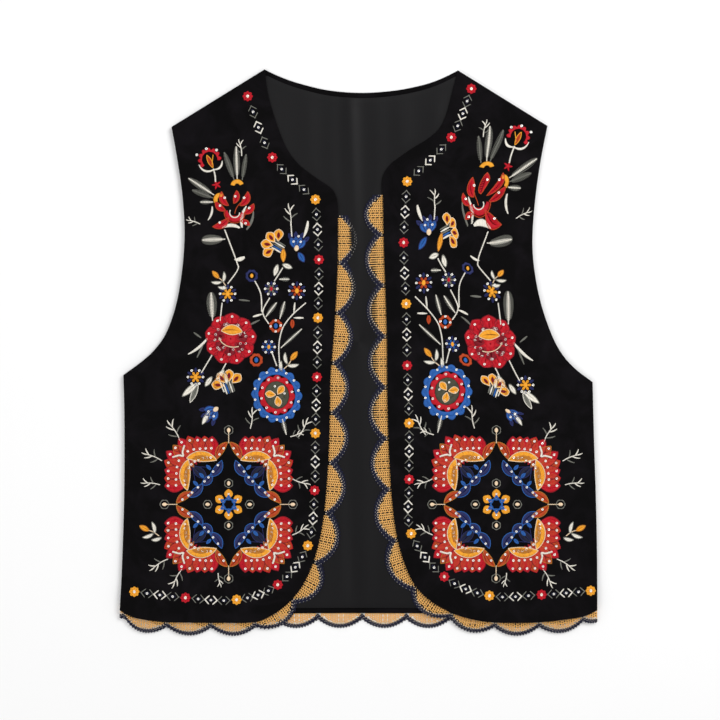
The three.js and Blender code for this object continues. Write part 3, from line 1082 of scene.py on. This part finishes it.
# The spray, in the left front's places. Its stems, each a smooth line.
STEMS = (
    ((-133.5, 122.5), (-121.5, 90.5), (-120.5, 82.5), (-130.5, 68.5)),
    ((-136, 49.5), (-138, 31.5)), ((-103.5, 71.5), (-97.5, 58.5), (-96.5, 40.5)),
    ((-88.5, 54.5), (-95.5, 40.5), (-89.5, 28.5)), ((-75.5, 84.5), (-84, 71)),
    ((-78.5, -15), (-79.5, 4.5), (-78, 16.5), (-74.5, 26.5), (-65.5, 38), (-52.5, 49.5)),
    ((-86.5, 0.5), (-81.5, -13.5)), ((-146, -2.5), (-156.8, -20.5)),
    ((-132, -10.5), (-138.5, -25.5), (-134, -39.5)), ((-66.5, 115.5), (-67.5, 130.5)),
)
# Feathers beside the carnation: foot, tip, width and the rib's thread.
UPPER_FEATHERS = (
    (-121, 173, -122, 206, 7, Thread.WHITE), (-124, 172, -134, 200, 6, Thread.GREY),
    (-116, 172, -112, 198, 5, Thread.GREY), (-144, 157, -170, 174, 7, Thread.WHITE),
    (-145, 154, -166, 162, 6, Thread.GREY), (-145, 150, -158, 150, 5, Thread.WHITE),
)
# Blades: foot, tip, width, thread and bow.
BLADES = (
    (-116, 124, -112, 146, 3.6, Thread.WHITE, 0.1), (-112, 122, -105, 141, 3, Thread.GREY, -0.1),
    (-118, 124, -136, 124, 4, Thread.WHITE, -0.16), (-113.5, 95.5, -123.5, 92.5, 4.6, Thread.WHITE, 0.1),
    (-50.5, 131.5, -55, 114.5, 3.4, Thread.WHITE, 0.05), (-105.5, 35.5, -95.5, 38.5, 2.4, Thread.WHITE, 0),
    (-108.5, 27.5, -98.5, 32.5, 2.2, Thread.GREY, 0), (-54.5, 34.5, -64.5, 34.5, 2.2, Thread.WHITE, 0),
    (-63.5, 50, -64.5, 39.5, 2, Thread.WHITE, 0), (-150.5, 14.5, -169.8, -1.8, 3, Thread.WHITE, 0.06),
    (-164.5, 20, -156.8, 14.5, 2, Thread.GREY, 0), (-154.5, 9, -161, -5, 2, Thread.GREY, 0),
    (-146, 146, -150, 132, 2.4, Thread.WHITE, 0.1), (-119.5, 52.5, -108.5, 51.5, 2, Thread.GREY, 0),
)
# Feathers lower down: foot, tip and width.
LOWER_FEATHERS = (
    (-133, 113, -156, 112, 11), (-145.5, 31.5, -147, 60, 11), (-92.5, 35.5, -81.5, 50, 5),
    (-78.5, 33.5, -73.5, 51, 5), (-77.5, 4.5, -56, 24, 4), (-79, 73, -69, 73, 5), (-72, -82, -76, -66, 5),
)
# Leaves: foot, tip, width, fill and edge.
LEAVES = (
    (-80.5, 88, -84, 76, 5, Thread.WHITE, Thread.GREY), (-76, 88, -66, 84, 5, Thread.WHITE, Thread.GREY),
    (-75, 104, -75, 90, 5, Thread.GOLD, Thread.OCHRE), (-60, 100, -54, 90, 6, Thread.BLUE, Thread.NAVY),
    (-66, 33, -66, 24, 4.5, Thread.ORANGE, None), (-138, -22, -143, -35, 5.5, Thread.GOLD, Thread.OCHRE),
    (-146, -24, -153, -34, 5, Thread.WHITE, Thread.GREY),
    (-134, -17, -142, -28, 5, Thread.WHITE, Thread.GREY),
    (-133, -20, -131, -32, 4, Thread.WHITE, Thread.GREY),
    (-148, -58, -156, -72, 5, Thread.WHITE, Thread.GREY),
    (-160, -30, -176, -44, 6, Thread.WHITE, Thread.GREY),
    (-160, -32, -168, -50, 5, Thread.GREY, Thread.WHITE),
)
# Sequin flowers: middle, radius, and the threads of the middle and the rays.
BEADED = (
    (-87, 63.5, 6, Thread.RED, Thread.GREY), (-61.5, 61.5, 7.5, Thread.GOLD, Thread.ORANGE),
    (-130.5, 58.5, 7.5, Thread.GOLD, Thread.GOLD), (-89.5, 5.5, 6, Thread.GOLD, Thread.BLUE),
    (-162.5, -24.5, 7.5, Thread.GOLD, Thread.GOLD),
)
# Sprigs and twigs, which also stand round the medallion: foot, turn and size.
SPRIGS = ((-132.5, 66.5, 42, 0.9), (-74.5, -16.5, -38, 1.0), (-199, -183, 62, 1.0))
TWIGS = (
    (-67.5, 126, 4, 0.95), (-116.5, 196, 8, 0.7), (-108, -76, -8, 0.9), (-60, -84, -30, 0.9),
    (-178, -88, 30, 1.0), (-196, -108, 66, 0.9), (-198, -132, 82, 0.8), (-190, -206, 120, 0.9),
    (-176, -216, 150, 0.9), (-140, -220, 190, 0.6), (-66, -126, -110, 0.8), (-66, -182, -60, 0.8),
    (-68, -84, -70, 0.6), (-158, 128, 70, 0.6),
)


@dataclass
class Embroidery:
    """The needlework of one front: its chain border, its medallion and its spray of flowers."""

    panel: FrontPanel
    shapes: tuple[Shape, Shape]

    def __post_init__(self) -> None:
        """Thread the needle for this front."""
        self.rng = np.random.default_rng(SEED + (self.panel.cut.word == "right"))
        self.work = Work(self.panel.height, self.rng)
        self.plain = Needle(self.work, lambda p: p)
        self.design = Needle(self.work, self.carry)

    def carry(self, points: np.ndarray) -> np.ndarray:
        """Take the design's points, which are the left front's, to this front."""
        if self.panel.cut.word == "left":
            return points
        table = np.array(RIGHT_SHIFTS, float)
        away = np.linalg.norm(points[:, None] - table[None, :, :2], axis=2)
        pull = 1 / (away**3 + 60)
        shift = (pull[..., None] * table[None, :, 2:]).sum(1) / pull.sum(1, keepdims=True)
        return np.column_stack([2 * MIRROR_X - points[:, 0], points[:, 1]]) + shift

    def chain(self) -> None:
        """Flowers with three open diamonds between each two, down the neckline and edge and along the hem."""
        for part, rows in enumerate(CHAINS[self.panel.cut.word]):
            path = Line(rows)
            knots = np.array(rows, float)
            marks = [0.0]
            for knot in knots[1:]:
                marks.append(float(path.stations[np.hypot(*(path.points - knot).T).argmin()] / path.length))
            for k, mark in enumerate(marks):
                if k or not part:
                    thread = Thread.RED if (k + part) % 2 == 0 else Thread.GOLD
                    if not part:
                        thread = Thread.GOLD if k == 2 else Thread.RED
                    self.plain.flower(*path.at(mark)[0], 5.2, thread, Thread.CREAM)
                if k + 1 == len(marks):
                    continue
                for j in (1, 2, 3):
                    share = mark + (marks[k + 1] - mark) * j / 4
                    way = path.heading(share)[0]
                    own = self.plain.at(*path.at(share)[0], turn=math.degrees(math.atan2(way[1], way[0])))
                    self.diamond(own, Thread.WHITE if j == 2 else Thread.GREY)

    @staticmethod
    def diamond(own: Needle, thread: Thread) -> None:
        """Four bars that cross at the ends and stay open at the sides, round a sequin."""
        wide = 1.35 if thread is Thread.WHITE else 0.95
        for sx in (-1, 1):
            for sy in (-1, 1):
                own.stitch(np.array([[7.0 * sx, -0.9 * sy]]), np.array([[1.5 * sx, 4.6 * sy]]), thread, wide)
        own.leaf(-3, 0, 3, 0, 3.6, Thread.INK)
        own.sequin((0, 0), size=0.72)

    def medallion(self) -> None:
        """A four-fold rosette: a star, gold crescents, navy leaf bands and fans of scalloped petals."""
        heart = self.design.at(-129.5, -151.5)
        for k in range(6):
            tip = heart.at(0, 0, 60 * k)
            tip.leaf(0, 6, 0, 15, 8, Thread.GOLD, Thread.GOLD)
            tip.leaf(0, 4, 0, 9.5, 4.4, Thread.BLUE, lift=0.3)
            tip.sequin((0, 10.5), size=0.6)
        heart.ring(0, 0, 4.6, 6.6, Thread.BLUE)
        for k in range(4):
            arm = heart.at(0, 0, 90 * k)
            far = 60 if k % 2 else 70
            arm.ring(0, 21, 3.6, 4.8, Thread.GREY, lobes=6)
            arm.disc(0, 21, 1.9, Thread.CREAM)
            arm.ring(0, far + 4, 3.8, 5.0, Thread.GREY, lobes=6)
            arm.disc(0, far + 4, 2.0, Thread.CREAM)
            arm.line([(0, far - 9), (0, far + 2)], Thread.CREAM)
            top = 52 if k % 2 else 62
            for side in (-1, 1):
                tip = (12 * side, top - 17)
                arm.leaf(1.0 * side, top, *tip, 7.5, Thread.ORANGE, Thread.OCHRE, bow=0.1 * side)
                arm.sequin((5 * side, top - 6), (9 * side, top - 12), size=0.72)
        for k in range(4):
            self.corner(heart, (1 if k in (0, 3) else -1), (1 if k < 2 else -1))

    def corner(self, heart: Needle, sx: int, sy: int) -> None:
        """One corner of the medallion, drawn outwards to the right and up, then turned to its place."""
        own = Needle(heart.work, heart.carry)
        own.origin, own.matrix = heart.origin, heart.matrix @ np.diag([sx, sy])
        reach = np.array([64.0, 68.0])
        count = 11
        for k in range(count):
            a = math.radians(-8 + 106 * (k + 0.5) / count)
            way = np.array([math.cos(a), math.sin(a)])
            foot = np.array([19.0, 21.0]) + way * np.array([19, 20]) * 1.15
            box = max(abs(way[0]), abs(way[1]))
            tip = np.array([19.0, 21.0]) + way * (reach - (19, 21)) * min(1.18, 1 / box)
            thread = Thread.RED if k % 2 == 0 else Thread.ORANGE
            if k != count // 2:
                own.leaf(*foot, *tip, 14.0, thread, Thread.CRIMSON if k % 2 == 0 else Thread.RED, blunt=1.25)
            else:
                own.leaf(*foot, *(tip * 0.98), 12.5, Thread.ORANGE, Thread.OCHRE, blunt=1.2)
            for share in (0.12, 0.5, 0.84):
                own.sequin(tuple(foot + (tip - foot) * share), size=0.74)
        corner = np.array([45.0, 48.0])
        cord = [corner + step for step in ((-1, 11), (1, 4), (0, 0), (4, 1), (11, -1))]
        own.line(cord, Thread.WHITE, 2.0, 1.6, 0.7)
        low, high = np.array([12.0, 44.0]), np.array([42.0, 46.0])
        for a, b, bow in ((low, high, 0.10), (np.array([41.0, 14.0]), np.array([40.0, 45.0]), -0.10)):
            own.leaf(*a, *b, 10.5, Thread.GOLD, Thread.CREAM, bow=bow, lift=0.2)
            own.leaf(*(a + (b - a) * 0.2), *(b - (b - a) * 0.2), 4.5, Thread.OCHRE, bow=bow, lift=0.5)
        for a, b in (((7, 44), (19, 28)), ((17, 30), (27, 20)), ((26, 21), (41, 8))):
            own.leaf(*a, *b, 8.0, Thread.NAVY, Thread.BLUE, bow=-0.12)
            for near_b in (0.3, 0.7):
                near_a = 1 - near_b
                own.sequin((a[0] * near_a + b[0] * near_b, a[1] * near_a + b[1] * near_b), size=0.7)
        own.leaf(36, 38, 22, 26, 9.0, Thread.INK, Thread.NAVY)
        for x, y in ((20, 37), (27, 29), (33, 21)):
            own.leaf(x - 2.4, y - 2.4, x + 2.4, y + 2.4, 3.6, Thread.BLUE, lift=0.3)
            own.line([(x, y), (36, 38)], Thread.NAVY, 0.7)

    def rose(self, x: float, y: float) -> None:
        """The large red rose: petals in two rounds, a red heart, a gold eye and a pale crescent."""
        own = self.design.at(x, y, -6)
        rounds = ((9, 12, 26, 17, Thread.RED, Thread.CRIMSON, 0.0),
                  (7, 5, 18, 13, Thread.CRIMSON, Thread.RED, 0.35))
        for count, inner, outer, wide, fill, edge, lift in rounds:
            for k in range(count):
                a = 2 * math.pi * (k + 0.3) / count
                c, s = math.cos(a), math.sin(a)
                own.leaf(inner * c, inner * s, outer * c, outer * s, wide, fill, edge, blunt=1.35, lift=lift)
                own.sequin((0.86 * outer * c, 0.86 * outer * s), size=0.72)
                own.sequin((0.6 * outer * math.cos(a + 0.3), 0.6 * outer * math.sin(a + 0.3)), size=0.7)
        own.ring(0, 0, 0.4, 9, Thread.RED, lift=0.2)
        own.leaf(-10, 7, 11, 8, 10, Thread.GOLD, Thread.CREAM, bow=0.08, lift=0.9)
        own.line(arc(2, 3, 14, 11, 195, 300, 20), Thread.CREAM, 1.0, lift=1.0, smooth=False)

    def rosette(self, x: float, y: float) -> None:
        """The large round flower: a blue scalloped ring, a red ring and a dark eye with gold wedges."""
        own = self.design.at(x, y, 12)
        own.ring(0, 0, 18, 25.5, Thread.BLUE, lobes=14, tall=1.12)
        own.ring(0, 0, 12, 18.5, Thread.RED, lobes=12, tall=1.12, lift=0.2)
        own.ring(0, 0, 1.5, 12.5, Thread.MOSS, tall=1.15)
        for turn in (40, 160, 270):
            own.at(0, 0, turn).leaf(1, 0, 11.5, 0, 7, Thread.GOLD, Thread.CREAM, blunt=1.3, lift=0.4)
        for radius, count, size in ((22, 14, 0.72), (15.5, 10, 0.72), (8, 4, 0.65)):
            for a in np.radians(np.arange(count) * 360 / count):
                own.sequin((radius * math.cos(a), radius * 1.12 * math.sin(a)), size=size)

    def lily(self, x: float, y: float) -> None:
        """The red lily: flame petals edged in orange round a cup."""
        own = self.design.at(x, y, 0)
        petals = ((-6, 6, -13, 20, 6, 0.18), (-1, 8, 2, 21, 6, -0.1), (5, 6, 13, 20, 7, -0.18),
                  (-9, 1, -19, 10, 6, 0.12), (-6, -6, -22, -15, 7, 0.16), (9, -2, 19, 8, 6, -0.14),
                  (6, -9, 15, -14, 5, 0.1))
        for x0, y0, x1, y1, wide, bow in petals:
            own.leaf(x0, y0, x1, y1, wide, Thread.RED, Thread.ORANGE, bow=bow)
            own.sequin((0.45 * x0 + 0.55 * x1, 0.45 * y0 + 0.55 * y1), size=0.75)
        own.satin(arc(0, -1, 10, 10, 175, 350, 20), arc(0, 1, 7, 5, 175, 350, 20), Thread.RED)
        own.line(arc(0, -1, 10.5, 10.5, 170, 355, 20), Thread.ORANGE, lift=0.3, smooth=False)
        own.line(arc(0, -1, 5, 5, 150, 360, 14), Thread.WHITE, 1.2, 1.5, 0.3, smooth=False)
        own.line([(0, -2), (2, 4), (6, 9)], Thread.ORANGE)

    def carnation(self, x: float, y: float) -> None:
        """The red carnation on its stem: a fan of fringed petals round gold stamens."""
        own = self.design.at(x, y, 22)
        own.ring(0, 0, 7.5, 12, Thread.RED, lobes=12, start=-25, end=205, depth=0.3)
        own.leaf(0, -9, -1, 5, 4, Thread.ORANGE, Thread.GOLD)
        own.line([(0, -6), (5, 3)], Thread.GOLD)
        for x1, y1, bow in ((-12, -1, 0.25), (11, -6, -0.25)):
            own.blade(0, -11, x1, y1, 2.2, Thread.WHITE, bow)
        own.line([(0, -10), (-1, -17), (-3, -23)], Thread.WHITE, 1.6, 1.5)
        for turn in range(0, 360, 72):
            own.at(-3, -26, turn).blade(0, 0, 0, 4.5, 2.2, Thread.RED)
        own.sequin((-10, 9), (10, 6), (1, 11), size=0.8)

    def gold_flower(self, x: float, y: float, turn: float, petals: int = 4) -> None:
        """A side-on flower: scalloped gold petals out of a striped calyx."""
        own = self.design.at(x, y, turn)
        for k in range(petals):
            arm = own.at(0, 0, 62 - 42 * k)
            arm.leaf(0, 5, 0, 17, 9.5, Thread.GOLD, Thread.CREAM, blunt=1.4)
            arm.leaf(0, 8, 0, 14, 3.2, Thread.CRIMSON, lift=0.35)
        for k, thread in enumerate((Thread.WHITE, Thread.BLUE, Thread.GREY, Thread.WHITE, Thread.GREY)):
            own.blade(-4 + 2 * k, -7, -4 + 2 * k, 5, 1.8, thread)

    def bell(self, x: float, y: float, turn: float) -> None:
        """A blue bell with navy tips."""
        own = self.design.at(x, y, turn)
        for k in range(4):
            arm = own.at(0, 0, 36 - 24 * k)
            arm.leaf(0, 0, 0, 13, 6.5, Thread.BLUE, Thread.NAVY, blunt=1.2)
            arm.leaf(0, 10, 0, 18, 4.4, Thread.NAVY)
        own.disc(0, 1, 2.6, Thread.CREAM, 0.4)
        own.sequin((3, 8), (-4, 7), (0, 13), size=0.7)

    def spray(self) -> None:
        """The spray above the medallion, with its stems, leaves and flowers."""
        own = self.design
        for rows in STEMS:
            own.line(rows, Thread.WHITE, 1.35, 2.0)
        self.carnation(-148.5, 192.5)
        for x, y, turn in ((-121, 166, 20), (-138, 152.5, 60)):
            bend = arc(x, y, 7, 7, turn, turn + 150, 14)
            own.satin(bend, (bend - (x, y)) * 0.35 + (x, y), Thread.GOLD)
        for *place, rib in UPPER_FEATHERS:
            own.feather(*place, rib=rib)
        self.lily(-123.5, 140.5)
        for draw, rows in ((own.blade, BLADES), (own.feather, LOWER_FEATHERS), (own.leaf, LEAVES)):
            for row in rows:
                draw(*row)
        self.gold_flower(-80.5, 106, 60)
        self.gold_flower(-129.5, -34, 20)
        self.bell(-62, 103, -10)
        self.bell(-141.5, -56, 130)
        own.ring(-106.5, 76.5, 3.6, 6.6, Thread.NAVY, lobes=8)
        own.disc(-106.5, 76.5, 1.8, Thread.GOLD)
        for x, y in ((-82.5, 26.5), (-102, -7.5)):
            own.ring(x, y, 3.6, 7, Thread.ORANGE, lobes=8)
            own.disc(x, y, 2.2, Thread.BLUE)
        own.sequin((-82.5, 32), (-77.5, 27), (-87.5, 26), (-82.5, 21), size=0.7)
        for row in BEADED:
            own.beaded(*row)
        self.rose(-127.5, 13.5)
        self.rosette(-81.5, -42.5)
        for draw, rows in ((own.sprig, SPRIGS), (own.twig, TWIGS)):
            for row in rows:
                draw(*row)

    def build(self, thread: bpy.types.Material, film: bpy.types.Material) -> None:
        """Embroider the front, in one piece for each group."""
        word = self.panel.cut.word
        stitch, sequin = self.shapes
        for name, draw in (("chain", self.chain), ("medallion", self.medallion), ("spray", self.spray)):
            draw()
            made = self.work.stitches(f"{name}_stitches_{word}", stitch)
            declare(made, "", thread)
        declare(self.work.sequins(f"sequins_{word}", sequin), "", film)


# ---------------------------------------------------------------- lace


@dataclass
class Lace:
    """A crochet ribbon: a gold net of ribs and rungs, and a navy scalloped edge with pale dots."""

    word: str
    path: Line
    scallops: Rows
    cut_off: float
    outward: float
    tuck: float
    start_band: tuple[float, float]
    end_band: tuple[float, float]
    rest: Callable[[np.ndarray], np.ndarray]
    flat: tuple[float, float]
    lies_on: str
    rib_pitch: float = 2.35
    rung_pitch: float = 2.1
    edge_pitch: float = 0.95
    edge_wide: float = 4.2
    # Past these places across the vest the ribbon's side turns straight down, to meet the side seam.
    square_from: float = 195.0
    square_full: float = 234.0
    # Shares of the length between which the band at the start becomes the band at the end.
    change_from: float = 0.58
    change_full: float = 0.76
    net_area: float = field(init=False, default=0.0)

    def spot(self, along: np.ndarray, out: np.ndarray) -> np.ndarray:
        """Points at a distance along the ribbon and out from its sewn line."""
        share = np.clip(along / self.path.length, 0, 1)
        seam, way = self.path.at(share), self.path.heading(share)
        side = -turned(way) * self.outward
        side[:, 0] *= 1 - smoothstep(np.abs(seam[:, 0]), self.square_from, self.square_full)
        return seam + unit(side) * np.asarray(out)[:, None]

    def band(self, along: np.ndarray, share: np.ndarray) -> tuple[np.ndarray, np.ndarray]:
        """How far the gold net and the navy edge reach at each place."""
        turn = smoothstep(along / self.path.length, self.change_from, self.change_full)
        cusp = self.start_band[0] + (self.end_band[0] - self.start_band[0]) * turn
        reach = self.start_band[1] + (self.end_band[1] - self.start_band[1]) * turn
        bulge = 1 - (2 * share - 1) ** 2
        whole = cusp + (reach - cusp) * bulge
        return whole - (cusp + (self.edge_wide - cusp) * bulge), whole

    def build(self, shape: Shape, cotton: bpy.types.Material) -> None:
        """Crochet the ribbon and its edge."""
        rng = np.random.default_rng(SEED + len(self.word))
        net, edge = Work(self.rest, rng), Work(self.rest, rng)
        start = -self.cut_off
        for count, pitch in self.scallops:
            for _ in range(int(count)):
                self.scallop(net, edge, start, pitch)
                start += pitch
        node = f"lace_{self.word}"
        made = declare(net.stitches(f"lace_net_{self.word}", shape), node, cotton)
        trim = declare(edge.stitches(f"lace_edge_{self.word}", shape), node, cotton)

    def scallop(self, net: Work, edge: Work, start: float, pitch: float) -> None:
        """Crochet one scallop of the ribbon, and add its net to the area.

        Args:
            net: The gold stitches.
            edge: The navy stitches.
            start: Where it starts along the ribbon.
            pitch: Its length.
        """
        ribs = round(pitch / self.rib_pitch)
        for k in range(ribs):
            along = start + (k + 0.5) * pitch / ribs
            if not 0 < along < self.path.length:
                continue
            gold, _ = self.band(np.array([along]), np.array([(along - start) / pitch]))
            self.net_area += pitch / ribs * (self.tuck + float(gold[0]))
            outs = np.arange(-self.tuck, float(gold[0]) - 0.3, self.rung_pitch)
            if len(outs) < 2:
                continue
            here, there = np.full(len(outs), along), np.full(len(outs), along + pitch / ribs)
            spots, beside = self.spot(here, outs), self.spot(there, outs + 0.5 * self.rung_pitch * (k % 2))
            net.lay(spots[:-1], spots[1:] + (spots[1:] - spots[:-1]) * 0.15, Thread.LACE_GOLD, 1.05, 0.25)
            solid = np.ones(len(outs), bool)
            if k in (round(ribs / 2 - 1.7), round(ribs / 2 + 0.7)):
                solid[1::2] = False
            net.lay(spots[solid], beside[solid], Thread.LACE_GOLD, 1.0, 0.0)
            tip = self.spot(here[:1], gold - 0.4)
            net.lay(tip, self.spot(here[:1], gold + 1.0), Thread.CREAM, 1.2, 0.3)
        along = start + np.arange(0, pitch, self.edge_pitch)
        along = along[(along > 0) & (along < self.path.length)]
        gold, whole = self.band(along, (along - start) / pitch)
        edge.lay(self.spot(along, gold), self.spot(along, whole), Thread.LACE_NAVY, 1.3, 0.1)
        picot = along[::3]
        gold, whole = self.band(picot, (picot - start) / pitch)
        low, high = self.spot(picot - 0.5, whole - 0.8), self.spot(picot + 0.6, whole + 0.5)
        edge.lay(low, high, Thread.LACE_NAVY, 1.3, 0.3)
        for share, offset in ((0.35, 0.0), (0.72, 1.4)):
            out = gold + (whole - gold) * share
            dot = picot + offset
            edge.lay(self.spot(dot - 0.5, out), self.spot(dot + 0.5, out), Thread.LACE_DOT, 0.6, 0.7)


# ---------------------------------------------------------------- studio


@dataclass(frozen=True)
class Studio:
    """A pale floor, soft light from the upper right, and a camera straight above."""

    camera_at: tuple[float, float, float] = (0.0015, -0.0075, 1.70)
    lens_mm: float = 85.0
    floor_size: float = 6.0
    floor_top: float = -0.0004
    lights: tuple = (("key", (0.9, 0.8, 1.3), 0.9, 16.0), ("fill", (-0.9, -0.3, 1.4), 1.2, 6.0))

    def build(self) -> None:
        """Set up the floor, the lights and the camera."""
        scene = bpy.context.scene
        scene.view_settings.view_transform = "Standard"
        world = scene.world or bpy.data.worlds.new("studio")
        scene.world = world
        world.use_nodes = True
        back = world.node_tree.nodes.get("Background") or world.node_tree.nodes.new("ShaderNodeBackground")
        back.inputs["Color"].default_value = linear("FFFFFF")
        back.inputs["Strength"].default_value = 0.6
        if not world.node_tree.nodes.get("World Output"):
            out = world.node_tree.nodes.new("ShaderNodeOutputWorld")
            world.node_tree.links.new(back.outputs[0], out.inputs[0])
        camera = bpy.data.cameras.new("camera")
        camera.lens, camera.sensor_width = self.lens_mm, 36.0
        seen = bpy.data.objects.new("camera", camera)
        seen.location = self.camera_at
        scene.collection.objects.link(seen)
        scene.camera = seen
        for name, place, size, power in self.lights:
            lamp = bpy.data.lights.new(name, "AREA")
            lamp.size, lamp.energy = size, power
            held = bpy.data.objects.new(name, lamp)
            held.location = place
            held.rotation_euler = (-Vector(place)).to_track_quat("-Z", "Y").to_euler()
            scene.collection.objects.link(held)
        select_only(seen)
        bpy.ops.mesh.primitive_plane_add(size=self.floor_size, location=(0, 0, self.floor_top))
        floor = bpy.context.object
        floor.name = "floor"
        made = bpy.data.materials.new("white_seamless_paper")
        made.use_nodes = True
        made.node_tree.nodes["Principled BSDF"].inputs["Base Color"].default_value = linear("FAFAFA")
        made.node_tree.nodes["Principled BSDF"].inputs["Roughness"].default_value = 0.9
        floor.data.materials.append(made)


def front_lace_rest(points: np.ndarray) -> np.ndarray:
    """Height of the front lace's underside: on the lining, then lower past the back's hem."""
    drop = np.clip((BACK_END_Y - points[..., 1]) / LACE_DROP, 0, 1)
    return FRONT_REST + (LACE_STEP - FRONT_REST) * drop + LACE_CLEAR


def back_lace_rest(points: np.ndarray) -> np.ndarray:
    """Height of the back lace's underside: just above the table."""
    return np.full(points.shape[:-1], BACK_LACE_CLEAR)


def main() -> None:
    """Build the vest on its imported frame, piece by piece."""
    logging.basicConfig(level=logging.INFO, format="%(message)s")
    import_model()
    Studio().build()
    velvet = Velvet().material()
    BackAndLining().build(velvet, LiningSatin().material())
    rayon = SpunThread("bright_rayon_embroidery_thread", 0.45, 0.0).material()
    cotton = SpunThread("mercerised_crochet_cotton", 0.65, 0.0).material()
    film = SequinFilm().material()
    stitch, sequin = stitch_shape(), sequin_shape()
    for cut in (LEFT, RIGHT):
        panel = FrontPanel(cut)
        panel.build(velvet)
        Embroidery(panel, (stitch, sequin)).build(rayon, film)
        Lace(
            word=f"front_{cut.word}", path=cut.lace_path(), scallops=cut.scallops, cut_off=0.0,
            outward=cut.outward, tuck=LACE_TUCK, start_band=(9.0, 19.5), end_band=(5.0, 13.0),
            rest=front_lace_rest, flat=(0.585, 0.025), lies_on="satin_lining",
        ).build(stitch, cotton)
    Lace(
        word="back", path=Line(BACK_HEM), scallops=((12, 44.2),), cut_off=23.5,
        outward=1.0, tuck=-0.3, start_band=(6.0, 14.5), end_band=(6.0, 14.5),
        rest=back_lace_rest, flat=(0.480, 0.020), lies_on="floor",
    ).build(stitch, cotton)


if __name__ == "__main__":
    main()
